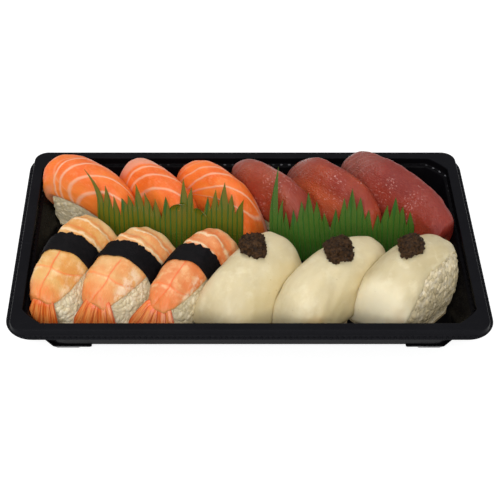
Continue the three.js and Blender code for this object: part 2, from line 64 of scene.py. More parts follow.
# How thick a topping is, where it starts and ends along the form, how far it reaches down its
# left and its right side, evenly spaced from the end at -x to the end at +x, how much its
# corners are rounded off, and how ragged its long edges are. The rice under it is shorter,
# narrower and lower by its inset, in millimetres, and painted shade may darken its grains.
SLICE = dict(ragged=0.35, painted_shade=0)
SLICES = dict(
    salmon=dict(thick=5, start=-0.93, end=0.97, left=(0.85, 0.85), right=(0.85, 0.95), corner=0.1,
                inset=(3.5, 3.5, 2.2)),
    tuna=dict(thick=5, start=-0.93, end=0.985, left=(0.82, 0.85), right=(0.85, 0.97), corner=0.05,
              inset=(3.5, 4, 2.2)),
    squid=dict(thick=4.5, start=-0.98, end=0.92, left=(0.97, 0.85), right=(0.97, 0.95), corner=0.04,
               inset=(3.5, 2.1, 2.2)),
    prawn=dict(thick=3.5, start=-0.74, end=0.9, left=(0.35, 0.5, 0.68, 0.78, 0.85, 0.88, 0.9, 0.9, 0.9),
               right=(0.3, 0.42, 0.52, 0.61, 0.66, 0.73, 0.8, 0.86, 0.92), corner=0.06,
               inset=(3, 1.8, 2.2)),
)

# Each nigiri, in the order in which one gives way to another: name, x, y, heading, its own
# form, and what differs in its slice.
NIGIRI = [
    ("squid_3", 72.5, -25, 46,
     dict(long=27.5, wide=16.5, tall=34, plan=(0.3, 0.65), arch=(0.75, 0.4), end=0.78, lean=-0.18,
          bow=2, rise=0.02, flare=4),
     dict(left=(0.97, 0.8), right=(0.97, 0.8, 0.42, 0.42, 0.42), inset=(1.5, 0.7, 1), ragged=2.5,
          painted_shade=1)),
    ("squid_2", 37.5, -24.5, 45,
     dict(long=33, wide=14, tall=31, arch=(0.55, 0.5), end=0.78, lean=-0.22, bow=4.5, rise=-0.02,
          flare=8), {}),
    ("squid_1", 0.5, -24.5, 50,
     dict(long=29.5, wide=13, tall=31, plan=(0.2, 0.15), arch=(0.7, 0.45), end=0.78, lean=0.06,
          rise=-0.1, flare=8), {}),
    ("prawn_3", -23, -24, 55,
     dict(long=30.5, wide=11.5, tall=30.5, plan=(0.45, 0.4), arch=(0.45, 0.55), end=0.68,
          lean=0.18, bow=2.5, rise=-0.15),
     dict(left=(0.3, 0.45, 0.66, 0.78, 0.85, 0.88, 0.9, 0.9, 0.9),
          right=(0, 0.22, 0.48, 0.61, 0.66, 0.73, 0.8, 0.86, 0.92))),
    ("prawn_2", -50.5, -24, 58,
     dict(long=30, wide=13, tall=28.5, plan=(0.55, 0.45), arch=(0.4, 0.55), lean=0.42, bow=1,
          rise=-0.07), {}),
    ("prawn_1", -74, -24, 63,
     dict(wide=12, tall=34.5, plan=(0.45, 0.3), arch=(0.1, 0.35), end=0.64, lean=0.42, bow=2,
          rise=-0.15),
     dict(start=-0.93, left=(0.5, 0.65, 0.75, 0.82, 0.85, 0.88, 0.9, 0.9, 0.9),
          right=(0.3, 0.46, 0.52, 0.58, 0.62, 0.7, 0.8, 0.86, 0.92))),
    ("salmon_1", -76, 31.5, -32,
     dict(long=25, tall=31, arch=(0.29, 0.29), lean=-0.1, bow=4.9, rise=0.19),
     dict(start=-0.998, right=(0.97, 0.85, 0.76, 0.76, 0.78, 0.8, 0.8, 0.8, 0.78), corner=0,
          inset=(6, 2.1, 2.2))),
    ("salmon_2", -43.5, 31.5, -45, dict(long=25, wide=10.5, tall=29.5, bow=1.7, rise=0.12), {}),
    ("salmon_3", -13.5, 31.5, -43,
     dict(long=26, wide=10.5, tall=30, plan=(0.6, 0.05), arch=(0.55, 1), end=0.78, lean=-0.08,
          bow=3.5, rise=0.12), {}),
    ("tuna_1", 15, 32, -42,
     dict(long=27, wide=9.5, tall=30.5, plan=(0.7, 0.05), arch=(0.3, 1), end=0.78, lean=-0.06,
          bow=1, rise=0.08), dict(left=(0.82, 0.97))),
    ("tuna_2", 41, 29.5, -42,
     dict(long=29.5, wide=9.5, tall=27, plan=(0.6, 0.5), arch=(0.5, 0.55), end=0.78, lean=0.24,
          bow=1.5, rise=0.1), {}),
    ("tuna_3", 68.5, 24, -46,
     dict(long=33.5, wide=11, tall=27, plan=(0.5, 0.2), arch=(0.2, 0.1), end=0.76, lean=0.28,
          bow=5, rise=0.11), dict(end=0.998)),
]

# Dividers: how far behind the tray's middle they stand, how far they lean back for each millimetre
# of height, their thickness and how far apart their creases are. Then the tips of their spikes and
# the valleys between them. Each is where it is along X, and its height up the leaning sheet. Curls
# are spikes that fold over to the right: how far to the side and how far up their tips go from the
# valley. A film has two tints.
DIVIDER = dict(foot=5, lean=0.4, thick=0.3, crease=2.45)
DIVIDERS = dict(
    left=dict(
        start=-72, end=-1.6, curls={9: (6.5, 1.5), 12: (6, -5)}, film=((107, 102, 16), (94, 98, 15)),
        tips=[
            (-77.8, 46), (-68, 38), (-64.1, 33), (-60.3, 32), (-57.3, 33.5), (-53.4, 39),
            (-49.4, 34.5), (-44.2, 31.5), (-39.1, 32.5), (-35, 30), (-30.6, 41.5), (-26.4, 37),
            (-22.8, 30), (-18.7, 32.5), (-14.9, 36.5), (-10.6, 40), (-7.2, 34), (-1.4, 31),
        ],
        valleys=[
            (-68.9, 29), (-64.6, 26), (-60.9, 23), (-57.6, 28), (-54.2, 27), (-49.5, 27),
            (-45.3, 25), (-41.2, 21), (-37.3, 26), (-32.5, 27), (-28.6, 31), (-25.5, 26),
            (-21.1, 22.5), (-17.4, 25.5), (-13.6, 27), (-8.9, 28.5), (-5.5, 23.5),
        ],
    ),
    right=dict(
        start=11, end=81, curls={}, film=((71, 105, 28), (58, 94, 24)),
        tips=[
            (15, 47.4), (17.3, 31), (18.8, 25), (22.4, 26), (26.3, 30.5), (29.4, 35), (33.5, 30.5),
            (37.2, 24.7), (43, 26.5), (46.9, 32), (50.6, 36.5), (54.8, 32), (58.9, 25.7),
            (63.3, 23.5), (67.8, 28.5), (71.6, 32.3), (75.2, 27.7), (78.7, 25.2),
        ],
        valleys=[
            (15.2, 22.7), (17.8, 18.6), (20.9, 15), (24.3, 18.8), (28, 24.4), (32.2, 23.7),
            (36.3, 19.6), (40.4, 15), (44.5, 19), (48.3, 25.2), (52.9, 25), (57.2, 20),
            (61, 14.5), (64.7, 18.6), (69, 21.4), (73.7, 23.2), (77.2, 17.3),
        ],
    ),
)


# ---- Shaders ----

def colour(red, green, blue):
    """A colour as it looks on screen, 0 to 255, as a shader wants it."""
    def linear(value):
        value /= 255
        return value / 12.92 if value < 0.04045 else ((value + 0.055) / 1.055) ** 2.4

    return (linear(red), linear(green), linear(blue), 1)


class Wire:
    """An output of a shader node. Sums and products with it add Math nodes."""

    def __init__(self, shader, socket):
        self.shader = shader
        self.socket = socket

    def math(self, operation, *values):
        sockets = dict(enumerate(values))
        return self.shader.add("Math", dict(operation=operation), sockets)

    def __add__(self, other):
        return self.math("ADD", self, other)

    def __sub__(self, other):
        return self.math("SUBTRACT", self, other)

    def __rsub__(self, other):
        return self.math("SUBTRACT", other, self)

    def __mul__(self, other):
        return self.math("MULTIPLY", self, other)

    def __truediv__(self, other):
        return self.math("DIVIDE", self, other)

    def __abs__(self):
        return self.math("ABSOLUTE", self)

    __radd__ = __add__
    __rmul__ = __mul__

    def fraction(self):
        return self.math("FRACT", self)

    def larger(self, other):
        return self.math("MAXIMUM", self, other)

    def smaller(self, other):
        return self.math("MINIMUM", self, other)

    def rise(self, low, high):
        """0 below low, 1 above high, and smooth in between. Low may be the larger."""
        settings = dict(interpolation_type="SMOOTHSTEP")
        sockets = {"Value": self, "From Min": low, "From Max": high}
        return self.shader.add("MapRange", settings, sockets)


class Shader:
    """A material that is built up from nodes."""

    def __init__(self, name, **constants):
        self.material = bpy.data.materials.new(name)
        self.material.use_nodes = True
        self.tree = self.material.node_tree
        self.surface = self.tree.nodes["Principled BSDF"]
        for words, value in constants.items():
            self.surface.inputs[words.replace("_", " ")].default_value = value

    def add(self, kind, settings, sockets, output=0):
        """Adds a node with its settings and the values or wires of its sockets."""
        node = self.tree.nodes.new("ShaderNode" + kind)
        for key, value in settings.items():
            setattr(node, key, value)
        for key, value in sockets.items():
            self.plug(node.inputs[key], value)
        return Wire(self, node.outputs[output])

    def plug(self, socket, value):
        if isinstance(value, Wire):
            self.tree.links.new(value.socket, socket)
        else:
            socket.default_value = value

    def finish(self, **wires):
        for words, value in wires.items():
            self.plug(self.surface.inputs[words.replace("_", " ")], value)
        return self.material

    def place(self):
        """Where a point is on the object, in metres."""
        return self.add("TexCoord", {}, {}, "Object")

    def part(self, vector):
        """The x, y and z of a vector."""
        split = self.add("SeparateXYZ", {}, {"Vector": vector})
        outputs = split.socket.node.outputs
        return [Wire(self, outputs[axis]) for axis in "XYZ"]

    def attribute(self, name):
        return self.add("Attribute", dict(attribute_name=name), {}, "Fac")

    def over_slice(self):
        """Where a point is on the object, along and across its slice, and how far from the rim."""
        return [self.place()] + [self.attribute(name) for name in ("along", "across", "rim")]

    def vector(self, x, y):
        return self.add("CombineXYZ", {}, {"X": x, "Y": y})

    def noise(self, vector, scale, detail=2.0, rough=0.5):
        sockets = {"Vector": vector, "Scale": scale, "Detail": detail, "Roughness": rough}
        return self.add("TexNoise", {}, sockets, "Fac")

    def cells(self, vector, scale):
        """The distance from the middle of a cell."""
        return self.add("TexVoronoi", {}, {"Vector": vector, "Scale": scale}, "Distance")

    def mix(self, share, one, other):
        """One colour at share 0, the other at 1. A colour is a wire, or as it looks on screen."""
        node = self.tree.nodes.new("ShaderNodeMix")
        node.data_type = "RGBA"
        self.plug(node.inputs[0], share)
        for index, tint in ((6, one), (7, other)):
            self.plug(node.inputs[index], tint if isinstance(tint, Wire) else colour(*tint))
        return Wire(self, node.outputs[2])

    def paint(self, tint, *layers):
        """Lays further colours over a first one, each at its share."""
        for share, over in layers:
            tint = self.mix(share, tint, over)
        return tint

    def bump(self, height, depth, normal=None):
        """Relief of a depth in millimetres."""
        sockets = {"Height": height, "Distance": depth * MM}
        if normal:
            sockets["Normal"] = normal
        return self.add("Bump", {}, sockets, "Normal")


# ---- Making meshes ----

def deselect():
    if bpy.context.object and bpy.context.object.mode != "OBJECT":
        bpy.ops.object.mode_set(mode="OBJECT")
    bpy.ops.object.select_all(action="DESELECT")


def pick(piece):
    deselect()
    piece.select_set(True)
    bpy.context.view_layer.objects.active = piece


def points_of(piece):
    """The vertices of a piece as rows of x, y, z."""
    points = np.zeros(len(piece.data.vertices) * 3)
    piece.data.vertices.foreach_get("co", points)
    return points.reshape(-1, 3)


def set_points(piece, points):
    piece.data.vertices.foreach_set("co", np.asarray(points, float).ravel())
    piece.data.update()


def set_attribute(piece, name, values):
    field = piece.data.attributes.new(name, "FLOAT", "POINT")
    field.data.foreach_set("value", np.asarray(values, float).ravel())


def smooth(piece, angle=None):
    pick(piece)
    if angle is None:
        bpy.ops.object.shade_smooth()
    else:
        bpy.ops.object.shade_smooth_by_angle(angle=math.radians(angle))


def outwards(piece):
    pick(piece)
    bpy.ops.object.mode_set(mode="EDIT")
    bpy.ops.mesh.select_all(action="SELECT")
    bpy.ops.mesh.normals_make_consistent(inside=False)
    bpy.ops.object.mode_set(mode="OBJECT")


def apply(piece, kind, **settings):
    """Adds a modifier and applies it."""
    pick(piece)
    modifier = piece.modifiers.new(kind.title(), kind)
    for key, value in settings.items():
        setattr(modifier, key, value)
    bpy.ops.object.modifier_apply(modifier=modifier.name)


def mesh_piece(name, points, faces):
    """A piece from rows of points in millimetres and its faces."""
    mesh = bpy.data.meshes.new(name)
    mesh.from_pydata((np.asarray(points, float) * MM).tolist(), [], faces)
    piece = bpy.data.objects.new(name, mesh)
    bpy.context.scene.collection.objects.link(piece)
    return piece


def join(pieces, name):
    deselect()
    for piece in pieces:
        piece.select_set(True)
    bpy.context.view_layer.objects.active = pieces[0]
    bpy.ops.object.join()
    pieces[0].name = name
    return pieces[0]


def dress(piece, material, slot, *nodes):
    """Gives a piece its material and puts it in the place of CAD nodes."""
    piece.data.materials.clear()
    piece.data.materials.append(material)
    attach(piece, "root")
    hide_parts(*nodes)


def flat_slab(name, cells_long, cells_wide):
    """A closed flat slab one unit long and wide. Its top is at 0 and its underside at -1."""
    deselect()
    bpy.ops.mesh.primitive_grid_add(
        x_subdivisions=cells_long, y_subdivisions=cells_wide, size=1, location=(0.5, 0.5, 0))
    slab = bpy.context.object
    slab.name = name
    slab.data.name = name
    bpy.ops.object.mode_set(mode="EDIT")
    bpy.ops.mesh.select_all(action="SELECT")
    bpy.ops.mesh.extrude_region_move(TRANSFORM_OT_translate=dict(value=(0, 0, -1)))
    bpy.ops.object.mode_set(mode="OBJECT")
    bpy.ops.object.transform_apply(location=True, rotation=True, scale=True)
    return slab


def slab_grid(slab, cells_long, cells_wide):
    """Row, column and layer (0 on top, 1 underneath) of each vertex of a flat slab."""
    points = points_of(slab)
    rows = np.rint(points[:, 0] * cells_long).astype(int)
    columns = np.rint(points[:, 1] * cells_wide).astype(int)
    return rows, columns, (points[:, 2] < -0.5).astype(int)


# ---- The nigiri's forms ----

def blend(one, other, share):
    return one + (other - one) * share


def power(value, exponent):
    return np.sign(value) * np.abs(value) ** exponent


def step(value, low, high):
    """0 below low, 1 above high, and smooth in between."""
    share = np.clip((value - low) / (high - low), 0, 1)
    return share * share * (3 - 2 * share)


class Nigiri:
    def __init__(self, name, x, y, heading, form, slice_changes):
        self.name = name
        self.kind, number = name.split("_")
        self.number = int(number)
        self.centre = np.array([x, y, REST])
        self.form = {**FORM, **form}
        self.slice = {**SLICE, **SLICES[self.kind], **slice_changes}
        angle = math.radians(heading)
        self.axes = np.array([
            [math.cos(angle), math.sin(angle), 0], [-math.sin(angle), math.cos(angle), 0], [0, 0, 1]])
        self.seed = sum(ord(letter) for letter in name)

    def local(self, u, v, grow=0.0, form=None):
        """Points of the form: u runs along it and v across it, from -1 to 1 each."""
        f = form or self.form
        plan, arch = (np.where(u < 0, *f[key]) for key in ("plan", "arch"))
        fall = np.clip(np.cos(np.radians(90 * u)), 0, None)
        x = (f["long"] + grow) * power(np.sin(np.radians(90 * u)), f["end"])
        tall = f["tall"] + grow + f["rise"] * (f["long"] - x)
        z = tall * fall ** arch * np.clip(np.cos(np.radians(90 * v)), 0, None) ** f["crown"]
        wide = (f["wide"] + grow) * fall ** plan
        bend = f["bow"] * (1 - (x / f["long"]) ** 2)
        y = wide * power(np.sin(np.radians(90 * v)), f["side"]) + f["lean"] * z + bend
        foot = np.clip(-np.sin(np.radians(90 * v)), 0, None) ** 4
        y = y - f["flare"] * foot * step(u, 0.9, 0.2) * fall ** 0.5
        return np.stack(np.broadcast_arrays(x, y, z), -1)

    def world(self, points):
        return points @ self.axes + self.centre

    def back(self, points):
        return (points - self.centre) @ self.axes.T

    def inside(self, points, grow):
        """Below 1 inside the form grown by some millimetres, for points of the tray."""
        f = self.form
        x, y, z = np.moveaxis(self.back(points), -1, 0)
        plan, arch = (np.where(x < 0, *f[key]) for key in ("plan", "arch"))
        along = np.clip(np.abs(x) / (f["long"] + grow), 0, 1) ** (1 / f["end"])
        fall = np.sqrt(np.clip(1 - along ** 2, 1e-6, None))
        tall = (f["tall"] + grow + f["rise"] * (f["long"] - x)) * fall ** arch
        wide = (f["wide"] + grow) * fall ** plan
        bend = f["bow"] * (1 - (x / f["long"]) ** 2)
        across = np.abs(y - f["lean"] * z - bend) / wide
        up = np.clip(z, 0, None) / tall
        rim = across ** (2 / f["side"]) + up ** (2 / f["crown"])
        return np.where(np.abs(x) >= f["long"] + grow, 9.0, rim)

    def u_at(self, x):
        share = np.clip(np.abs(x) / self.form["long"], 0, 1) ** (1 / self.form["end"])
        return np.sign(x) * np.degrees(np.arcsin(share)) / 90

    def cover(self, u):
        """How far the slice reaches down the right and the left side at each u."""
        s = self.slice
        corner = 1 - s["corner"] * np.abs(2 * (u - s["start"]) / (s["end"] - s["start"]) - 1) ** 5
        right, left = (np.interp(u, np.linspace(-1, 1, len(s[key])), s[key]) for key in ("right", "left"))
        return np.clip(right * corner, 0, 0.97), np.clip(left * corner, 0, 0.97)


nigiri = [Nigiri(*row) for row in NIGIRI]

# How far the tray's inside keeps from its edge, at some heights.
WALL_HEIGHTS = (3, 4.2, 20, 20.6, 24.2, 25.5)
WALL_INSETS = (16.2, 14.9, 9, 7.8, 7.3, -20)
WALL_CHAMFER = 8.5  # how much the corners cut off

CLEAR = 0.9  # between the food and a divider's middle
PAST_DIVIDER = 1.5  # how fast that room closes beyond a divider's end
YIELD = 0.3  # how far one nigiri sinks into the one before it
NEIGHBOUR = 70  # nigiri further apart than this don't touch
FARTHEST = 26.0  # that a point is pressed away
HALVINGS = 14


def settle(points, index):
    """Presses a nigiri's points out of the nigiri before it, the dividers and the tray's wall."""
    item = nigiri[index]
    points = points.copy()
    for other in nigiri[:index]:
        away = item.centre - other.centre
        if np.hypot(away[0], away[1]) > NEIGHBOUR:
            continue
        away /= np.linalg.norm(away)
        caught = other.inside(points, -YIELD) < 1
        if not caught.any():
            continue
        stuck = points[caught]
        low, high = np.zeros(len(stuck)), np.full(len(stuck), FARTHEST)
        for _ in range(HALVINGS):
            middle = (low + high) / 2
            within = other.inside(stuck + middle[:, None] * away, -YIELD) < 1
            low, high = np.where(within, middle, low), np.where(within, high, middle)
        points[caught] = stuck + high[:, None] * away
    x, z = points[:, 0], points[:, 2]
    up = (z - REST) / math.hypot(1, DIVIDER["lean"])
    for sheet in DIVIDERS.values():
        beyond = np.clip(np.maximum(sheet["start"] - x, x - sheet["end"]), 0, None)
        plane = DIVIDER["foot"] + DIVIDER["lean"] * up
        room = CLEAR - PAST_DIVIDER * beyond
        if item.centre[1] > 0:
            points[:, 1] = np.maximum(points[:, 1], plane + room)
        else:
            points[:, 1] = np.minimum(points[:, 1], plane - room)
    inset = np.interp(z, WALL_HEIGHTS, WALL_INSETS)
    for axis, half in ((0, TRAY["half_long"]), (1, TRAY["half_wide"])):
        points[:, axis] = np.clip(points[:, axis], inset - half, half - inset)
    room = TRAY["half_long"] + TRAY["half_wide"] - 2 * inset - WALL_CHAMFER
    over = np.clip(np.abs(points[:, :2]).sum(1) - room, 0, None)
    points[:, :2] -= np.sign(points[:, :2]) * over[:, None] / 2
    points[:, 2] = np.maximum(points[:, 2], REST)
    return points


def ripple(along, across, size, seed):
    """Soft uneven relief, between -1 and 1, with waves of about a size."""
    value = np.zeros(np.shape(along))
    dice = random.Random(seed)
    for octave in range(3):
        for _ in range(3):
            angle = dice.uniform(0, math.tau)
            wave = math.tau * 2 ** octave * dice.uniform(0.7, 1.3) / size
            turn = along * math.cos(angle) + across * math.sin(angle)
            value = value + np.sin(turn * wave + dice.uniform(0, math.tau)) / 2 ** octave
    return value / 4


# ---- Tray ----

CORNER_STEPS = 12
SIDE_STEPS = (24, 44)  # of a short and a long side
COLUMNS = 4 * CORNER_STEPS + 2 * sum(SIDE_STEPS)
SOFTENED = 0.8  # how far a section's corners are rounded to each side
SOFT_STEPS = 4


def outline(inset, corner, roundness):
    """The tray's outline, a point to each column. Roundness 0 gives chamfered corners, 1 arcs."""
    half = np.array([TRAY["half_long"] - inset, TRAY["half_wide"] - inset])
    turn = np.linspace(0, 1, CORNER_STEPS + 1)
    arc = np.radians(90 * turn)
    out = np.stack([
        half[0] + corner * blend(-turn, np.cos(arc) - 1, roundness),
        half[1] + corner * blend(turn - 1, np.sin(arc) - 1, roundness)], 1)
    corners = [out, out[::-1] * (-1, 1), -out, out[::-1] * (1, -1)]
    rows = []
    for index, points in enumerate(corners):
        steps = SIDE_STEPS[(index + 1) % 2]
        share = np.linspace(0, 1, steps + 1)[1:-1, None]
        rows += [points, blend(points[-1], corners[(index + 1) % 4][0], share)]
    return np.concatenate(rows)


def tray_section():
    """Inset from the flange's edge, height, corner size and roundness of rings, inside to under."""
    rim, ledge, flange, floor, t = (TRAY[key] for key in ("rim", "ledge", "flange", "floor", "sheet"))
    return np.array([
        (15.9, floor + t, 7, 0.6), (14.7, 4.2, 8, 0.5), (9, ledge, 9, 0.25), (7.5, ledge + 0.2, 9, 0.25),
        (7.2, rim - 0.3, 9, 0.25), (6.9, rim, 9, 0.25), (2.6, rim, 6.5, 1), (2.3, rim - 0.3, 6.8, 1),
        (1.7, 21, 8.5, 1), (0, flange, 13, 1), (0, flange - t, 13, 1), (1.7 + t, 21 - t, 8, 1),
        (2.6 + t, rim - t, 5.9, 1), (6.9 - t, rim - t, 9 + t, 0.25), (7.5 - t, ledge - t, 9 + t, 0.25),
        (9 - t, ledge - t, 9 + t, 0.25), (14.7 - t, 4.2 - t, 8 + t, 0.5), (15.9 - t, floor, 7 + t, 0.6),
    ])


def soften(rings):
    """Rounds the corners of a section."""
    soft = [rings[0]]
    for before, ring, after in zip(rings, rings[1:], rings[2:]):
        ends = []
        for other in (before, after):
            length = np.hypot(*(other - ring)[:2])
            ends.append(blend(ring, other, min(0.45, SOFTENED / length)))
        for share in np.linspace(0, 1, SOFT_STEPS):
            soft.append(blend(blend(ends[0], ring, share), blend(ring, ends[1], share), share))
    return soft + [rings[-1]]


def stack(name, columns, rings):
    """A closed stack of rings, with the ring and the column of each vertex."""
    deselect()
    bpy.ops.mesh.primitive_circle_add(vertices=columns, radius=1, fill_type="NGON")
    piece = bpy.context.object
    piece.name = piece.data.name = name
    bpy.ops.object.mode_set(mode="EDIT")
    bpy.ops.mesh.select_all(action="SELECT")
    for _ in range(rings - 1):
        bpy.ops.mesh.extrude_region_move(TRANSFORM_OT_translate=dict(value=(0, 0, 1)))
    bpy.ops.object.mode_set(mode="OBJECT")
    points = points_of(piece)
    turn = np.arctan2(points[:, 1], points[:, 0]) / math.tau * columns
    return piece, np.rint(points[:, 2]).astype(int), np.rint(turn).astype(int) % columns


def scatter(name, base, turns, places, tones=None):
    """Copies of a base piece, each turned and placed, in one mesh. The base is used up."""
    shape = points_of(base) / MM
    faces = [list(polygon.vertices) for polygon in base.data.polygons]
    points = np.einsum("vi,nji->nvj", shape, turns) + np.asarray(places)[:, None]
    offsets = np.arange(len(places)) * len(shape)
    copies = [[corner + offset for corner in face] for offset in offsets.tolist() for face in faces]
    piece = mesh_piece(name, points.reshape(-1, 3), copies)
    if tones is not None:
        set_attribute(piece, "tone", np.repeat(tones, len(shape)))
    bpy.data.objects.remove(base)
    return piece


def along_outline(inset, corner, roundness, pitch):
    """Places a pitch apart round an outline, and the direction outwards at each."""
    loop = outline(inset, corner, roundness)
    ring = np.concatenate([loop, loop[:1]])
    run = np.concatenate([[0], np.cumsum(np.linalg.norm(np.diff(ring, axis=0), axis=1))])
    count = int(round(run[-1] / pitch))
    stops = np.arange(count) * run[-1] / count
    places = np.stack([np.interp(stops, run, ring[:, axis]) for axis in (0, 1)], 1)
    ahead = np.stack([np.interp(stops + 0.5, run, ring[:, axis]) for axis in (0, 1)], 1)
    tangent = ahead - places
    return places, np.arctan2(-tangent[:, 0], tangent[:, 1])


# Rows of small rounded lumps: ribs on the flange and bumps on the ledge. Size is half of each.
RIBS = dict(inset=0.85, corner=12.6, roundness=1, height=20.85, pitch=2.56, size=(0.85, 0.62, 0.5))
BUMPS = dict(inset=8, corner=9, roundness=0.25, height=20.05, pitch=4.1, size=(0.5, 0.8, 0.5))


def lumps_round(name, inset, corner, roundness, height, pitch, size):
    """A row of lumps round the tray, a pitch apart."""
    deselect()
    bpy.ops.mesh.primitive_uv_sphere_add(segments=8, ring_count=6, radius=1)
    base = bpy.context.object
    base.scale = [half * MM for half in size]
    bpy.ops.object.transform_apply(location=False, rotation=False, scale=True)
    places, outward = along_outline(inset, corner, roundness, pitch)
    turns = np.zeros((len(places), 3, 3))
    turns[:, 0, 0] = turns[:, 1, 1] = np.cos(outward)
    turns[:, 1, 0] = np.sin(outward)
    turns[:, 0, 1] = -np.sin(outward)
    turns[:, 2, 2] = 1
    return scatter(name, base, turns, np.column_stack([places, np.full(len(places), height)]))


# A corner foot: its outer sides, the corner cut off between them, and its inner side. The rings of
# the feet and of their pockets have a height, the inner end and how much they grow.
FOOT = dict(x=92, y=51.7, cut=4.5, inner=38)
FOOT_RINGS = [(0, 78, 0), (1.3, 77.1, 0.87), (1.3, 72.6, 0.87), (2.7, 71.7, 1.8)]
POCKET_RINGS = [(0.6, 80.4, -2), (4, 77.6, 0.2)]


def foot_ring(height, inner_end, grow):
    x, y, inner = FOOT["x"] + grow, FOOT["y"] + grow, FOOT["inner"] - grow
    corners = [(x, y - FOOT["cut"]), (x - FOOT["cut"], y), (inner_end, y), (inner_end, inner), (x, inner)]
    return [(*corner, height) for corner in corners]


def foot_blocks(name, rings):
    """The four corner feet or their pockets."""
    loops = np.array([foot_ring(*row) for row in rings])
    blocks = []
    for sign_x, sign_y in ((1, 1), (1, -1), (-1, 1), (-1, -1)):
        block, ring, column = stack(name, 5, len(rings))
        set_points(block, loops[ring, column] * (sign_x, sign_y, 1) * MM)
        outwards(block)
        blocks.append(block)
    return join(blocks, name)


def form_tray():
    rings = np.array(soften(tray_section()))
    tray, ring, column = stack("tray_formed", COLUMNS, len(rings))
    loops = np.array([
        np.column_stack([outline(inset, corner, roundness), np.full(COLUMNS, z)])
        for inset, z, corner, roundness in rings])
    set_points(tray, loops[ring, column] * MM)
    outwards(tray)
    for name, blocks, operation in (
            ("feet", FOOT_RINGS, "UNION"), ("pockets", POCKET_RINGS, "DIFFERENCE")):
        cutter = foot_blocks(name, blocks)
        apply(tray, "BOOLEAN", operation=operation, object=cutter, solver="EXACT")
        bpy.data.objects.remove(cutter)
    ribs, bumps = lumps_round("ribs", **RIBS), lumps_round("bumps", **BUMPS)
    # Painted highlight: the bumps at the back of the tray get a light tint, where they would catch the
    # light.
    set_attribute(bumps, "painted_glint", step(points_of(bumps)[:, 1], 0.03, 0.055))
    tray = join([tray, ribs, bumps], "tray_formed")
    smooth(tray, 40)
    return tray


def black_plastic():
    """Black sheet, with painted shade inside the tray and painted highlights on the bumps at the back."""
    shader = Shader("black_plastic", Specular_IOR_Level=0.025)
    place = shader.place()
    scuff = shader.noise(place, 90, 4, 0.6)
    x, y, height = shader.part(place)
    # Painted shade: the plastic is darkened inside the tray, below the ledge and within the rim.
    in_rim = abs(x).rise(0.1024, 0.1018) * abs(y).rise(0.0606, 0.06) * height.rise(0.0237, 0.023)
    inside = height.rise(0.0205, 0.0195).larger(in_rim)
    # Painted highlight: lightens the back bumps' colour in patches.
    painted_glint = shader.attribute("painted_glint") * shader.noise(place, 35, 2).rise(0.44, 0.6)
    tint = shader.paint(
        shader.mix(scuff, (18, 18, 21), (24, 24, 27)),
        (inside * 0.9, (7, 6, 8)),
        (painted_glint * 0.6, (120, 120, 124)))
    return shader.finish(
        Base_Color=tint,
        Roughness=0.2 + 0.14 * scuff.rise(0.35, 0.7),
        Normal=shader.bump(shader.noise(place, 45, 2), 0.1))


# ---- Dividers ----

STRIPS = 12  # of one spike
FILM_ROWS = 24
UPRIGHT = 0.4  # the share of a spike that rises before it bends to its tip
CURL_TOP = 4.5  # how far a curl rises before it folds over


def cut_divider(name, sheet):
    """A thin sheet whose top is cut in grass-like spikes. Some are folded over."""
    tips, valleys = np.array(sheet["tips"], float), np.array(sheet["valleys"], float)
    low = np.concatenate([[(sheet["start"], valleys[0, 1])], valleys, [(sheet["end"], valleys[-1, 1])]])
    cells = len(tips) * STRIPS
    slab = flat_slab(f"divider_{name}_film", cells, FILM_ROWS)
    column, row, back = slab_grid(slab, cells, FILM_ROWS)
    spike = np.minimum(column // STRIPS, len(tips) - 1)
    share = (column - spike * STRIPS) / STRIPS
    foot = blend(sheet["start"], sheet["end"], column / cells)
    base = blend(low[spike], low[spike + 1], share[:, None])
    middle = (low[spike] + low[spike + 1]) / 2
    side = np.abs(2 * share - 1)[:, None]
    rise = np.linalg.norm(tips[spike] - middle, axis=1)[:, None] * (1 - side)
    turn = base[:, 1:] / (base[:, 1:] + rise + 1e-9)
    share_up = (row / FILM_ROWS)[:, None]
    up = np.clip(share_up / turn, 0, 1)
    out = np.clip((share_up - turn) / (1 - turn + 1e-9), 0, 1)
    reach = out * (1 - side)
    straight = np.column_stack([middle[:, 0], blend(middle[:, 1], tips[spike, 1], UPRIGHT)])
    spine = blend(blend(middle, straight, reach), blend(straight, tips[spike], reach), reach)
    for index, (aside, rise) in sheet["curls"].items():
        folded = (spike == index)[:, None]
        top = middle + (0.25 * aside, CURL_TOP)
        end = middle + (aside, rise)
        over = blend(blend(middle, top, reach), blend(top, end, reach), reach)
        spine = np.where(folded, over, spine)
    half = np.where(share[:, None] < 0.5, low[spike], low[spike + 1]) - middle
    blade = spine + half * blend(side, 1, out) * (1 - reach ** 1.35)
    below = blend(np.column_stack([foot, 0 * foot]), base, up)
    x, height = np.where(out > 0, blade, below).T
    thick = DIVIDER["thick"] * (0.5 - back)
    wave = 0.3 * np.sin(x / 7.0) + 0.15 * np.sin(x / 2.9 + 1)
    curled = np.isin(spike, list(sheet["curls"])) * np.sin(np.pi * reach[:, 0] * 0.7)
    steep = math.hypot(1, DIVIDER["lean"])
    y = DIVIDER["foot"] + DIVIDER["lean"] * height / steep - thick + wave * up[:, 0] - 1.2 * curled
    set_points(slab, np.stack([x, y, REST + height / steep], 1) * MM)
    set_attribute(slab, "strip", (foot - sheet["start"]) / DIVIDER["crease"])
    set_attribute(slab, "height", height)
    outwards(slab)
    smooth(slab, 40)
    return slab


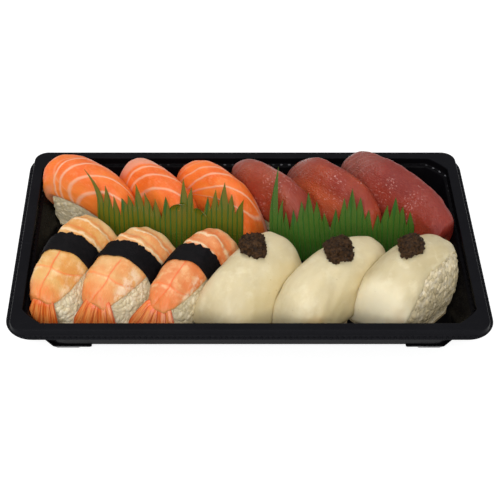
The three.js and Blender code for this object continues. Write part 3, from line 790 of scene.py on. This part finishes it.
def green_film(name, pale, dark):
    """See-through green film with pressed creases, and painted shade towards its foot."""
    shader = Shader(name, Alpha=0.86)
    crease = abs(shader.attribute("strip").fraction() - 0.5).rise(0.16, 0.05)
    # Painted shade: the film darkens towards its foot.
    low = shader.attribute("height").rise(22, 4)
    tint = shader.paint(
        shader.mix(shader.noise(shader.place(), 220, 3), pale, dark),
        (low * 0.6, (24, 66, 14)),
        (crease, (26, 90, 4)))
    return shader.finish(
        Base_Color=tint, Normal=shader.bump(crease, 0.12), Roughness=0.22 + 0.2 * crease)


# ---- Toppings ----

CLOSER = 0.75  # how much closer together a slice's cells lie at its rim
BOWED = 0.02  # how much its ends bow inwards at their corners
ROUNDED_OVER = 8  # how far from the rim it has its whole thickness


def close_rim(share):
    """Shares from 0 to 1 that lie closer together at both ends."""
    return blend(share, (1 - np.cos(np.pi * share)) / 2, CLOSER)


def running(points, axis):
    """The distance run along an axis of a grid of points."""
    steps = np.linalg.norm(np.diff(points, axis=axis), axis=-1)
    run = np.cumsum(steps, axis=axis)
    pad = [(0, 0), (0, 0)]
    pad[axis] = (1, 0)
    return np.pad(run, pad)


def lay_slice(index, name, cells, relief, edge, rounding=2.0):
    """A slice of topping over a nigiri's form: soft edges, and relief on its outer face."""
    item = nigiri[index]
    plan = item.slice
    slab = flat_slab(name, *cells)
    rows, columns, under = slab_grid(slab, *cells)
    s = 2 * close_rim(np.linspace(0, 1, cells[0] + 1))[:, None] - 1
    t = 2 * close_rim(np.linspace(0, 1, cells[1] + 1))[None, :] - 1
    u = blend(plan["start"], plan["end"], (1 + s * (1 - BOWED * t ** 4)) / 2)
    uneven = 0.02 * plan["ragged"] * ripple(28 * s, 5 + 0 * s, 16, item.seed)
    right, left = item.cover(u)
    v = np.clip(blend(-right, left, (t + 1) / 2) - uneven, -0.97, 0.97)
    flat = item.local(u, v)
    across, along = running(flat, 1), running(flat, 0)
    ridge = np.array([np.interp(0, v[i], across[i]) for i in range(len(v))])[:, None]
    reaches = [across, across[:, -1:] - across, along, along[-1:] - along]
    rim = sum((reach + 0.01) ** -4.0 for reach in reaches) ** -0.25
    thick = blend(edge, plan["thick"], step(rim, 0, ROUNDED_OVER))
    inward = 1 - np.clip(rim / rounding, 0, 1)
    cap = blend(0.12, 1, np.sqrt(1 - inward ** 2))
    height = relief(flat[..., 0], across - ridge, rim)
    outer = height - thick / 2 * (1 - cap)
    inner = -thick / 2 * (1 + cap)
    faces = np.stack([item.local(u, v, outer), item.local(u, v, inner)])
    points = settle(item.world(faces[under, rows, columns]), index)
    set_points(slab, points * MM)
    for field, values in (("along", flat[..., 0]), ("across", across - ridge), ("rim", rim)):
        set_attribute(slab, field, values[rows, columns])
    outwards(slab)
    smooth(slab)
    return slab


def gentle_relief(item):
    def relief(x, y, rim):
        return 0.45 * ripple(x, y, 17, item.seed + 7) * step(rim, 0, 4) - 0.1
    return relief


# Bands of fat: where each crosses the ridge, its slope and its curve, and how strong it is.
SALMON_LINES = {
    1: [(-12.6, 1.15, 0.078, 0.35), (-10.3, 0.79, 0.028, 1), (-4.2, 0.99, 0.03, 1), (9.1, 1.8, 0.051, 1),
        (26.5, 2.36, 0.048, 1)],
    2: [(-6.3, 1.05, 0.034, 1), (2.2, 1.4, 0.037, 1), (17.8, 2.15, 0.05, 1)],
    3: [(-13, 1.1, 0.01, 0.3), (-5.5, 1.25, 0.01, 0.8), (1.3, 1.16, 0.016, 1), (12.8, 1.36, 0.001, 1),
        (21.8, 0.57, -0.061, 0.9)],
}


def salmon_flesh(number):
    """Orange flesh with bands of pale fat that curve over the slice."""
    shader = Shader(
        f"salmon_{number}_flesh", Subsurface_Weight=0.25, Subsurface_Scale=0.004,
        Specular_IOR_Level=0.35, Coat_Weight=0.06, Coat_Roughness=0.3)
    place, x, y, rim = shader.over_slice()
    drift = 1.8 * (shader.noise(place, 120, 3) - 0.5)
    width = 0.6 + 0.7 * shader.noise(place, 60, 2)
    fat, halo, first = 0.0, 0.0, None
    for start, slope, curve, strength in SALMON_LINES[number]:
        off = x - start - slope * y - curve * y * y + drift
        first = first or off
        distance = abs(off) * (1 / math.hypot(1, slope))
        fat = (distance.rise(0.75, 0.1) * strength).larger(fat)
        halo = (distance.rise(2.2, 0.5) * strength).larger(halo)
    fat = fat * width.smaller(1.0)
    if number == 1:
        pale = x.rise(-15, -20) * y.rise(-14, -18) * 0.5
    elif number == 2:
        pale = first.rise(-1.5, -4) * y.rise(-13, -8) * 0.75
    else:
        pale = x.rise(15, 18) * y.rise(6.5, 8.5) * 0.7
    # Painted light: the lower right side is brightened to a glowing orange.
    painted_glow = 0.9 if number == 3 else 0.6
    fibre = shader.noise(shader.vector(0.3 * x - 0.35 * y, y * 1.2), 1.3, 3)
    mottle = shader.noise(place, 55, 3)
    speck = shader.noise(place, 420, 3, 0.6)
    tint = shader.paint(
        shader.mix(mottle.rise(0.35, 0.65), (228, 98, 20), (240, 120, 42)),
        (0.35 * fibre.rise(0.45, 0.75), (246, 140, 72)),
        (0.3 * speck.rise(0.5, 0.7), (244, 150, 100)),
        (y.rise(-7, -15) * painted_glow, (254, 142, 54)),
        (halo * 0.12, (240, 146, 92)),
        (fat * 0.8, (238, 180, 146)),
        ((rim.rise(1.6, 0.3) * 0.3).larger(pale), (228, 158, 130)))
    return shader.finish(
        Base_Color=tint, Roughness=0.4 + 0.2 * mottle,
        Normal=shader.bump(0.6 * fibre + 0.8 * fat + 0.5 * speck, 0.2))


# Deep and light flesh, and the lower side's painted light with its share.
TUNA_TINTS = {
    1: ((140, 50, 32), (158, 70, 44), (168, 62, 36), 0.4),
    2: ((138, 40, 20), (158, 60, 30), (188, 86, 48), 0.85),
    3: ((124, 32, 22), (142, 48, 34), (168, 62, 36), 0.4),
}


def tuna_flesh(number):
    """Red-brown flesh, greyer at the back, with faint slanting grain and a wet surface."""
    shader = Shader(
        f"tuna_{number}_flesh", Subsurface_Weight=0.25, Subsurface_Scale=0.004, Specular_IOR_Level=0.4)
    place, x, y, rim = shader.over_slice()
    deep, light, low, painted_light_share = TUNA_TINTS[number]
    mottle = shader.noise(place, 60, 4)
    path = x - 1.1 * y - 0.03 * y * y
    grainy = shader.noise(shader.vector(path * 0.4, y * 1.2), 1.4, 3)
    seams = abs((path / 3.4 + 0.5 * shader.noise(place, 70, 2)).fraction() - 0.5).rise(0.14, 0.02)
    # Painted highlight: small pale glints in the flesh's colour, clustered on the front of the slice.
    painted_glints = shader.noise(place, 900, 3, 0.7).rise(0.56, 0.66) * shader.noise(place, 85, 2).rise(0.5, 0.58)
    front = x.rise(-14, -4) * x.rise(22, 14)
    far = x.rise(-8, -26)
    tint = shader.paint(
        shader.mix(mottle.rise(0.35, 0.65), deep, light),
        (0.25 * grainy.rise(0.45, 0.7), (170, 78, 54)),
        (far * 0.65, (134, 82, 72)),
        (seams * far * 0.3, (176, 128, 120)),
        # Painted light: the lower right side is lifted to a warmer, glowing orange, as if light shines
        # through it.
        (y.rise(-9, -16) * painted_light_share, low),
        # Painted shade: the left side, where it presses against the next piece, is darkened to deep red.
        (y.rise(7, 12) * 0.35, (160, 60, 30)),
        (rim.rise(1.6, 0.2) * 0.45, (196, 118, 84)),
        (painted_glints * front * 0.6, (224, 168, 158)))
    film = shader.noise(place, 1500, 2, 0.6)
    wet = mottle.rise(0.5, 0.6)
    return shader.finish(
        Base_Color=tint, Roughness=0.48 - 0.33 * wet,
        Normal=shader.bump(film * wet, 0.45, shader.bump(grainy + 0.7 * mottle, 0.4)))


# Deep and light flesh, the lower side, and how much the front end is lighter. The lower side's tint is
# painted shade on the first two and painted light on the third, the lighter front end is painted light, and
# the third's darker flesh is painted shade.
SQUID_TINTS = {
    1: ((206, 190, 150), (216, 202, 164), (206, 184, 126), 0),
    2: ((206, 190, 150), (216, 202, 164), (206, 184, 126), 0),
    3: ((192, 176, 136), (202, 188, 150), (224, 208, 170), 0.7),
}


def squid_flesh(number):
    """Smooth ivory flesh with milky patches, partly painted sheen, and painted golden-brown shade low at
    the front.
    """
    shader = Shader(
        f"squid_{number}_flesh", Subsurface_Weight=0.35, Subsurface_Scale=0.005,
        Subsurface_Radius=(1, 0.85, 0.6), Coat_Weight=0.1, Coat_Roughness=0.35)
    place, x, y, rim = shader.over_slice()
    deep, light, low, painted_front_light = SQUID_TINTS[number]
    mottle = shader.noise(place, 40, 3)
    flow = shader.noise(shader.vector(x * 0.1, y * 0.3), 1.1, 2)
    # Milky patches: partly the flesh's own whiteness, partly painted sheen.
    milky_and_sheen = shader.noise(place, 130, 4, 0.65)
    speck = shader.noise(place, 300, 3, 0.6)
    # Painted shade: golden-brown at the low front corner, where the pieces press together.
    painted_shade_wedge = x.rise(-20, -26) * y.rise(-6, -14) * mottle.rise(0.4, 0.6)
    specks = shader.cells(place, 190).rise(0.09, 0.04) * mottle.rise(0.5, 0.6)
    tint = shader.paint(
        shader.mix(mottle.rise(0.35, 0.65), deep, light),
        (0.12 * flow.rise(0.45, 0.7), (228, 218, 184)),
        (0.35 * milky_and_sheen.rise(0.5, 0.68), (232, 222, 190)),
        (0.25 * speck.rise(0.5, 0.7), (206, 190, 144)),
        # Painted shade on the lower right side of the first two, painted light on the third's.
        (y.rise(-9, -20) * 0.45, low),
        (rim.rise(2.4, 0.3) * 0.4, (206, 182, 120)),
        # Painted light: lifts the third squid's front end.
        (x.rise(-16, -25) * painted_front_light, (246, 236, 206)),
        (painted_shade_wedge * 0.55, (186, 142, 72)),
        (specks * 0.35, (170, 140, 80)))
    return shader.finish(
        Base_Color=tint, Roughness=0.42 + 0.2 * mottle,
        Normal=shader.bump(0.2 * flow + 0.5 * milky_and_sheen + 0.3 * speck, 0.25))


# ---- Prawns ----

# Where the middle seam runs, how far it swings off at the tail end, where the border between the
# last two segments crosses it, where two pale bands cross the back, and the two tints of the flesh.
PRAWNS = {
    1: dict(centre=-2.0, swing=1.5, cross=-13.4, bands=(10, 18), base=(226, 174, 102), warm=(222, 150, 70)),
    2: dict(centre=-4.6, swing=5, cross=-14.9, bands=(10, 18), base=(230, 174, 110), warm=(230, 152, 86)),
    3: dict(centre=-2.3, swing=5, cross=-17.9, bands=(8, 16), base=(228, 148, 90), warm=(226, 128, 68)),
}


def prawn_seams(x, y, number, larger):
    """Distances from a prawn's middle seam, and from the border between its last two segments."""
    marks = PRAWNS[number]
    bend = larger(-17 - x, 0) / 11
    middle = y - marks["centre"] - marks["swing"] * bend * bend
    border = x - marks["cross"] + 1.3 * abs(middle) / (abs(middle) + 2)
    return middle, border - 0.0175 * middle * middle + 0.0225 * middle * abs(middle)


def prawn_relief(item):
    def relief(x, y, rim):
        middle, border = prawn_seams(x, y, item.number, np.maximum)
        tail_side = step(x, -1, -5)
        groove = 0.45 * np.exp(-(middle / 0.7) ** 2) * tail_side
        lip = 0.5 * step(border, -0.5, 0.5) * np.exp(-np.clip(border, 0, None) / 6) * tail_side
        ribs = 0.25 * np.cos(math.tau * (x - PRAWNS[item.number]["bands"][0]) / 8) * step(x, 4, 8)
        soft = 0.35 * ripple(x, y, 9, item.seed)
        return (soft + lip - groove + ribs) * step(rim, 0, 3)
    return relief


def prawn_flesh(number):
    """Orange and cream flesh with a red seam, a border between segments and pale bands."""
    marks = PRAWNS[number]
    shader = Shader(
        f"prawn_{number}_flesh", Subsurface_Weight=0.2, Subsurface_Scale=0.003,
        Subsurface_Radius=(1, 0.6, 0.4), Coat_Weight=0.12, Coat_Roughness=0.3)
    place, x, y, rim = shader.over_slice()
    middle, border = prawn_seams(x, y, number, Wire.larger)
    mottle = shader.noise(place, 110, 3)
    blotch = shader.noise(place, 240, 4, 0.6)
    warp = shader.noise(place, 150, 3, 0.6)
    streak = shader.noise(shader.vector(x * 0.2, y * 1.6), 1.4, 2)
    tail_side = x.rise(-1, -5)
    crescent = border.rise(-2.8, -0.8) * border.rise(0.1, -0.3) * tail_side
    cross = abs(border + 0.3 * (blotch - 0.5)).rise(0.75, 0.1) * tail_side
    seam = abs(middle + 0.5 * (mottle - 0.5)).rise(0.65, 0.1) * tail_side
    end = x.rise(-19, -27)
    edges = y.rise(-9.5, -13).larger(y.rise(8, 11) * 0.8) * tail_side
    edge_share = 0.3 if number == 1 else 0.6
    slant = x + 0.12 * y + 6 * (warp - 0.5)
    bands = []
    for centre in marks["bands"]:
        bands.append((abs(slant - centre - 2.4).rise(1, 0.1) * 0.5, (230, 112, 48)))
        bands.append((abs(slant - centre).rise(1.3, 0.2) * 0.7, (246, 222, 182)))
    spots = shader.cells(place, 120).rise(0.16, 0.08) * warp.rise(0.5, 0.6)
    tint = shader.paint(
        shader.mix(mottle.rise(0.35, 0.65), marks["base"], marks["warm"]),
        (0.35 * blotch.rise(0.48, 0.68), (246, 210, 154)),
        (crescent * blotch.rise(0.35, 0.6) * 0.5, (250, 214, 166)),
        (cross * (0.2 + 0.5 * mottle), (244, 118, 50)),
        (seam * (0.35 + 0.6 * blotch), (238, 96, 34)),
        # Painted shade: darkens the body towards its tail end.
        (end * 0.55, (214, 128, 58)),
        (end * (0.3 + 0.7 * streak.rise(0.4, 0.6)) * 0.6, (238, 112, 44)),
        (edges * blotch.rise(0.4, 0.6) * edge_share, (250, 228, 200)),
        *bands,
        (spots * 0.5, (222, 96, 30)),
        (x.rise(21, 26) * 0.6, (226, 206, 156)),
        (rim.rise(1.4, 0.1) * 0.4, (244, 196, 120)))
    return shader.finish(
        Base_Color=tint, Roughness=0.36 + 0.2 * mottle,
        Normal=shader.bump(streak + 0.8 * blotch - 0.6 * cross, 0.25))


# Where a tail joins, as u and v, how far it is turned and droops, and how wide and fanned it is.
TAILS = {
    1: dict(joint=(-0.86, -0.12), turn=14, droop=66, wide=0.95, fan=0.5),
    2: dict(joint=(-0.68, -0.12), turn=16, droop=58, wide=1.2, fan=0.8),
    3: dict(joint=(-0.68, 0.03), turn=12, droop=50, wide=1.25, fan=1),
}
# How far each lobe is turned from the middle of the tail, its length and its half width.
LOBES = [(-26, 16, 1.9), (-13, 18, 2.2), (1, 16, 1.8), (13, 18, 2.2), (26, 16, 1.9)]
LOBE_OFFSET = 0.13  # sideways, for each degree of turn
LOBE_CELLS = (24, 12)
LOBE_APART = 4  # in the attribute that runs across all the lobes
TUCKED = 3  # how far a lobe starts inside the prawn


def turned(axis, angle):
    return np.array(Matrix.Rotation(math.radians(angle), 3, axis))


def fan_tail(index):
    """A prawn's tail: ribbed lobes that spread from the joint and droop."""
    item = nigiri[index]
    setting = TAILS[item.number]
    joint = item.local(*setting["joint"], -1.5)
    hang = turned("Z", setting["turn"]) @ turned("Y", -setting["droop"])
    lobes = []
    for order, (spread, long, wide) in enumerate(LOBES):
        slab = flat_slab("lobe", *LOBE_CELLS)
        rows, columns, under = slab_grid(slab, *LOBE_CELLS)
        s, t = rows / LOBE_CELLS[0], 2 * columns / LOBE_CELLS[1] - 1
        half = wide * (0.6 + 0.6 * s) * np.sqrt(np.clip(1.02 - s ** 7, 0, 1))
        ribs = 0.14 * np.cos(2 * math.pi * t) * step(s, 0.1, 0.3)
        thick = (1.5 - 0.7 * s) * np.sqrt(np.clip(1.03 - t ** 2, 0, 1)) + ribs
        tuck = step(s, 0.28, 0)
        lift = 0.5 * (order % 2) + 0.9 * s * (1 - s) - 1.6 * tuck
        aside = LOBE_OFFSET * spread * (1 - 0.5 * tuck)
        across = (half * t + aside) * setting["wide"]
        points = np.stack([TUCKED - (long + TUCKED) * s, across, lift + thick * (0.5 - under)], 1)
        points = points @ (hang @ turned("Z", -spread * setting["fan"])).T + joint
        set_points(slab, settle(item.world(points), index) * MM)
        set_attribute(slab, "along", s)
        set_attribute(slab, "across", t + LOBE_APART * order)
        outwards(slab)
        lobes.append(slab)
    tail = join(lobes, f"{item.name}_tail")
    smooth(tail)
    return tail


def tail_shell():
    """Streaky orange shell, with painted shade along each lobe's edges, between the lobes, and darker at
    their tips.
    """
    shader = Shader("prawn_tail_shell", Roughness=0.36, Coat_Weight=0.25, Coat_Roughness=0.2)
    s, t = shader.attribute("along"), shader.attribute("across")
    streak = shader.noise(shader.vector(s * 1.2, t * 2.2), 1.5, 3)
    edge = abs((t / LOBE_APART + 0.5).fraction() - 0.5) * LOBE_APART
    tint = shader.paint(
        shader.mix(streak.rise(0.4, 0.62), (236, 150, 78), (218, 96, 22)),
        # Painted shade: each lobe darkens towards its edges, where it lies against the next.
        (edge.rise(0.5, 0.95) * 0.75, (184, 62, 8)),
        (s.rise(0.36, 0.24) * 0.6, (238, 96, 28)),
        (s.rise(0.5, 0.9) * 0.4, (186, 74, 12)))
    return shader.finish(Base_Color=tint, Normal=shader.bump(streak, 0.25))


# A band's width, where it crosses the ridge, how much it slants, how far down v it goes, and how
# thick it is.
NORI = dict(width=10.5, middle=0.8, slant=0.4, reach=0.97, thick=0.35, cells=(22, 110))


def wrap_nori(index):
    """A strip of nori over a prawn and down the sides of its rice, with a ragged upper edge."""
    item = nigiri[index]
    cells = NORI["cells"]
    slab = flat_slab(f"nori_{item.number}_band", *cells)
    rows, columns, under = slab_grid(slab, *cells)
    s = rows / cells[0]
    v = NORI["reach"] * (2 * columns / cells[1] - 1)
    side = item.form["wide"] * power(np.sin(np.radians(90 * v)), item.form["side"])
    torn = 0.715 * ripple(side, 0 * side, 3.2, item.seed + 3)
    torn = torn + 0.39 * ripple(side, 3 + side, 1.1, item.seed)
    head = torn * step(s, 0.35, 1)
    foot = 0.5 * ripple(side, 0 * side, 9, item.seed + 5) * step(s, 0.5, 0)
    x = NORI["middle"] - NORI["slant"] * side + NORI["width"] * (s - 0.5) + head + foot
    u = item.u_at(x)
    right, left = item.cover(u)
    beyond = np.maximum(-v - right, v - left)
    over = 0.5 + 0.25 * ripple(x, side, 8, item.seed + 11) - 1.5 * step(beyond, -0.02, 0.2)
    crease = 0.12 * ripple(x * 2, side, 2.2, item.seed + 13)
    grow = over + crease + NORI["thick"] * (1 - under)
    set_points(slab, settle(item.world(item.local(u, v, grow)), index) * MM)
    outwards(slab)
    smooth(slab)
    return slab


def nori_sheet():
    """Black-brown pressed seaweed with fibres and lighter patches."""
    shader = Shader("nori_sheet", Specular_IOR_Level=0.12)
    place = shader.place()
    fibre = shader.noise(place, 420, 4, 0.6)
    patch = shader.noise(place, 120, 3)
    tint = shader.paint(
        shader.mix(fibre.rise(0.35, 0.7), (6, 5, 7), (15, 12, 14)),
        (patch.rise(0.55, 0.75) * 0.4, (27, 21, 24)))
    return shader.finish(
        Base_Color=tint, Roughness=0.5 + 0.3 * fibre, Normal=shader.bump(fibre + patch, 0.35))


# ---- Rice ----

SPACING = 1.7  # between grains
TRIES = 12000
ON_ENDS = 0.4  # the share of tries that goes to the rounded ends
TUCKED_UNDER = 0.09  # how far grains go on under a slice, in u and v
CORE_CELLS = (40, 32)
CORE_GROWTH = 0.4  # how far the core fills the gaps between the grains


def shape_grain():
    """One cooked grain along x, flat and a little bent, and blunt at one end."""
    deselect()
    bpy.ops.mesh.primitive_uv_sphere_add(segments=8, ring_count=6, radius=1)
    grain = bpy.context.object
    z, x, y = points_of(grain).T
    taper = 1 - 0.14 * z
    shape = np.stack([2.8 * z, 1.4 * x * taper, 0.9 * y * taper - 0.25 * z ** 2], 1)
    set_points(grain, shape * MM)
    return grain


def unit(vectors):
    return vectors / (np.linalg.norm(vectors, axis=1)[:, None] + 1e-9)


def outward_at(item, u, v, form):
    """The direction straight out of a form."""
    nudge = 0.004
    inside = np.minimum(nudge, (1 - np.abs(u)) / 2)
    ahead = item.local(u + inside, v, 0.0, form) - item.local(u - inside, v, 0.0, form)
    aside = item.local(u, v + nudge, 0.0, form) - item.local(u, v - nudge, 0.0, form)
    return unit(np.cross(ahead, aside))


def rice_core(item, form, index):
    core = flat_slab(f"rice_{item.name}_core", *CORE_CELLS)
    rows, columns, under = slab_grid(core, *CORE_CELLS)
    u = 0.985 * np.sin(np.radians(90 * (2 * rows / CORE_CELLS[0] - 1)))
    v = 0.97 * (2 * columns / CORE_CELLS[1] - 1)
    points = item.local(u, v, CORE_GROWTH, form)
    points[:, 2] *= 1 - under
    set_points(core, settle(item.world(points), index) * MM)
    set_attribute(core, "tone", np.full(len(points), 0.4))
    outwards(core)
    return core


def press_rice(index):
    """A block of rice: a core, and grains over all of it that shows."""
    item = nigiri[index]
    form, plan = dict(item.form), item.slice
    for key, less in zip(("long", "wide", "tall"), plan["inset"]):
        form[key] -= less
    dice = np.random.default_rng(item.seed)
    x = dice.uniform(-1, 1, TRIES)
    along = np.degrees(np.arcsin(np.abs(x * 0.995) ** (1 / form["end"]))) / 90
    ends = np.degrees(np.arccos(dice.uniform(0.05, 0.8, TRIES) ** 2)) / 90
    u = np.sign(x) * np.where(dice.uniform(0, 1, TRIES) < ON_ENDS, ends, along)
    v = dice.uniform(-0.98, 0.98, TRIES)
    place = item.local(u, v, 0.0, form)
    normal = outward_at(item, u, v, form)
    slice_u = item.u_at(place[:, 0])
    right, left = item.cover(slice_u)
    hidden = (slice_u > plan["start"] + 0.06) & (slice_u < plan["end"] - 0.06)
    hidden &= (v > -right + TUCKED_UNDER) & (v < left - TUCKED_UNDER)
    kept = []
    for i in np.flatnonzero(~hidden & (place[:, 2] > 0.8)):
        if not kept or np.sum((place[kept] - place[i]) ** 2, axis=1).min() > SPACING ** 2:
            kept.append(i)
    places, normals = place[kept], normal[kept]
    count = len(kept)
    sink = dice.uniform(-0.1, 0.35, count)
    flat = np.cross(normals, dice.normal(size=(count, 3)))
    lie = unit(unit(flat) + normals * dice.normal(0, 0.12, count)[:, None])
    side = unit(np.cross(normals, lie))
    size = dice.uniform(0.86, 1.1, count)
    turns = np.stack([lie, side, np.cross(lie, side)], 2) * size[:, None, None]
    # Painted shade: a block marked for it gets darker grains.
    tones = dice.uniform(0, 1, count) - plan["painted_shade"]
    name = f"rice_{item.name}_grains"
    grains = scatter(name, shape_grain(), turns, places - normals * sink[:, None], tones)
    set_points(grains, settle(item.world(points_of(grains) / MM), index) * MM)
    rice = join([grains, rice_core(item, form, index)], name)
    smooth(rice)
    return rice


def cooked_rice():
    """Ivory grains of uneven tone, from -1 where painted shade darkens them to 1, that let some light
    through, and a faint painted glow that stands in for that light.
    """
    # Painted light: the grains glow faintly in their own colour, standing in for light that passes through
    # them.
    shader = Shader(
        "cooked_rice", Roughness=0.55, Emission_Strength=0.07, Subsurface_Weight=0.2,
        Subsurface_Scale=0.0015, Subsurface_Radius=(1, 0.85, 0.65))
    tone = shader.attribute("tone")
    cloud = shader.noise(shader.place(), 330, 2)
    tint = shader.paint(
        shader.mix(tone + 1, (162, 148, 116), (204, 187, 148)),
        (tone, (221, 206, 171)),
        (cloud.rise(0.45, 0.7) * 0.4, (246, 234, 210)))
    return shader.finish(Base_Color=tint, Emission_Color=tint, Normal=shader.bump(cloud, 0.15))


# ---- Miso ----

# The lumps of each dab: where they sit, as u and v, and their size.
MISO = {
    1: [(0.08, 0.03, 1.25), (0.07, 0.14, 0.75), (0.15, 0.05, 0.8), (0.05, -0.1, 0.75), (0.02, 0.02, 0.7)],
    2: [(0.04, 0.03, 1.3), (0.02, 0.11, 0.8), (0.11, 0.08, 0.8), (0.03, -0.11, 0.75), (-0.01, -0.03, 0.75)],
    3: [(0.01, 0.08, 1.2), (0, 0.15, 0.7), (0.08, 0.12, 0.7), (0.02, 0.01, 0.7), (-0.06, 0.03, 0.65)],
}
LUMP = 5.3  # half the width of a lump of size 1
LUMP_TALL = 3.286
LUMP_UP = 1.3144  # how far its middle sits above the slice
VOXEL = 0.45
# The relief of a dab: how coarse it is for each millimetre, and its height.
BIG, MIDDLE, SMALL = (0.42, 2.3), (0.95, 1.0), (2.1, 0.4)


def dab_miso(index):
    """A rough dab of dark miso, run together from lumps."""
    item = nigiri[index]
    lumps = []
    for u, v, size in MISO[item.number]:
        deselect()
        bpy.ops.mesh.primitive_ico_sphere_add(subdivisions=4, radius=1)
        lump = bpy.context.object
        shape = points_of(lump) * (LUMP * size, LUMP * size, LUMP_TALL * size)
        set_points(lump, item.world(shape + item.local(u, v, LUMP_UP)) * MM)
        lumps.append(lump)
    dab = join(lumps, f"miso_{item.number}_dab")
    apply(dab, "REMESH", mode="VOXEL", voxel_size=VOXEL * MM)
    points = points_of(dab) / MM
    normals = np.zeros(points.size)
    dab.data.vertices.foreach_get("normal", normals)
    rough = []
    for point in points:
        big, middle, small = (noise.noise(Vector(point) * scale) for scale, _ in (BIG, MIDDLE, SMALL))
        rough.append(BIG[1] * (0.5 - abs(big)) + MIDDLE[1] * middle + SMALL[1] * small - 1)
    points += normals.reshape(-1, 3) * np.array(rough)[:, None]
    set_points(dab, points * MM)
    smooth(dab)
    return dab


def dark_miso():
    """Dark brown grainy paste."""
    shader = Shader("dark_miso", Roughness=0.6, Specular_IOR_Level=0.2)
    place = shader.place()
    grain = shader.noise(place, 700, 4, 0.65)
    tint = shader.paint(
        shader.mix(grain.rise(0.35, 0.65), (28, 15, 4), (66, 42, 17)),
        (shader.noise(place, 260, 3).rise(0.55, 0.75) * 0.5, (88, 60, 33)))
    return shader.finish(Base_Color=tint, Normal=shader.bump(grain, 0.5))


# ---- The whole tray ----

SLICE_CELLS = (96, 72)
PRAWN_CELLS = (110, 80)
FLESH = dict(salmon=salmon_flesh, tuna=tuna_flesh, squid=squid_flesh, prawn=prawn_flesh)

dress(form_tray(), black_plastic(), "tray", "tray")
for side_name, sheet_plan in DIVIDERS.items():
    film = green_film(f"green_film_{side_name}", *sheet_plan["film"])
    dress(cut_divider(side_name, sheet_plan), film, "divider", f"divider_{side_name}")

rice_look, nori_look, miso_look, tail_look = cooked_rice(), nori_sheet(), dark_miso(), tail_shell()
for order, piece in enumerate(nigiri):
    flesh = FLESH[piece.kind](piece.number)
    if piece.kind == "prawn":
        body = lay_slice(order, f"{piece.name}_body", PRAWN_CELLS, prawn_relief(piece), 2.0, 1.6)
        dress(body, flesh, "prawn", piece.name)
        dress(fan_tail(order), tail_look, "prawn", piece.name)
        dress(wrap_nori(order), nori_look, "nori", f"nori_{piece.number}")
    else:
        topping = lay_slice(order, f"{piece.name}_slice", SLICE_CELLS, gentle_relief(piece), 2.6)
        dress(topping, flesh, piece.kind, piece.name)
    if piece.kind == "squid":
        dress(dab_miso(order), miso_look, "miso", f"miso_{piece.number}")
    dress(press_rice(order), rice_look, "rice", f"rice_{piece.name}")


# ---- Studio ----

# Each light's power in watts, its size, where it hangs and where it aims.
LIGHTS = dict(
    front_softbox=(7.6, (0.8, 0.6), (-0.1, -0.92, 0.68), (0, 0, 0.01)),
    overhead_softbox=(3.7, (1.0, 0.8), (-0.1, 0.05, 0.95), (0, 0, 0)),
)
DAYLIGHT = 0.48  # how bright the white surroundings are


def lay_floor():
    deselect()
    bpy.ops.mesh.primitive_plane_add(size=6)
    floor = bpy.context.object
    floor.name = "studio_floor"
    shader = Shader(
        "studio_floor", Base_Color=(0.4, 0.4, 0.4, 1), Roughness=0.9, Emission_Color=(1, 1, 1, 1),
        Emission_Strength=0.8)
    floor.data.materials.append(shader.material)


def hang_light(name, power_watts, size, location, aim):
    data = bpy.data.lights.new(name, "AREA")
    data.shape = "RECTANGLE"
    data.size, data.size_y = size
    data.energy = power_watts
    light = bpy.data.objects.new(name, data)
    light.location = location
    light.rotation_euler = (Vector(aim) - Vector(location)).to_track_quat("-Z", "Y").to_euler()
    bpy.context.scene.collection.objects.link(light)


def fill_world():
    world = bpy.data.worlds.new("studio")
    world.use_nodes = True
    background = world.node_tree.nodes["Background"]
    background.inputs["Color"].default_value = (1, 1, 1, 1)
    background.inputs["Strength"].default_value = DAYLIGHT
    bpy.context.scene.world = world


def place_camera():
    """In front of the tray and above it, looking down 41.2 degrees, with some shift in its frame."""
    data = bpy.data.cameras.new("camera")
    data.lens, data.sensor_width = 99.6, 36
    data.shift_x = 0.079
    camera = bpy.data.objects.new("camera", data)
    camera.location = (-0.0175, -0.49985, 0.45187)
    camera.rotation_euler = Euler((math.radians(48.8), 0, 0))
    bpy.context.scene.collection.objects.link(camera)
    bpy.context.scene.camera = camera


lay_floor()
for light_name, light_setting in LIGHTS.items():
    hang_light(light_name, *light_setting)
fill_world()
place_camera()
bpy.context.scene.view_settings.view_transform = "Standard"
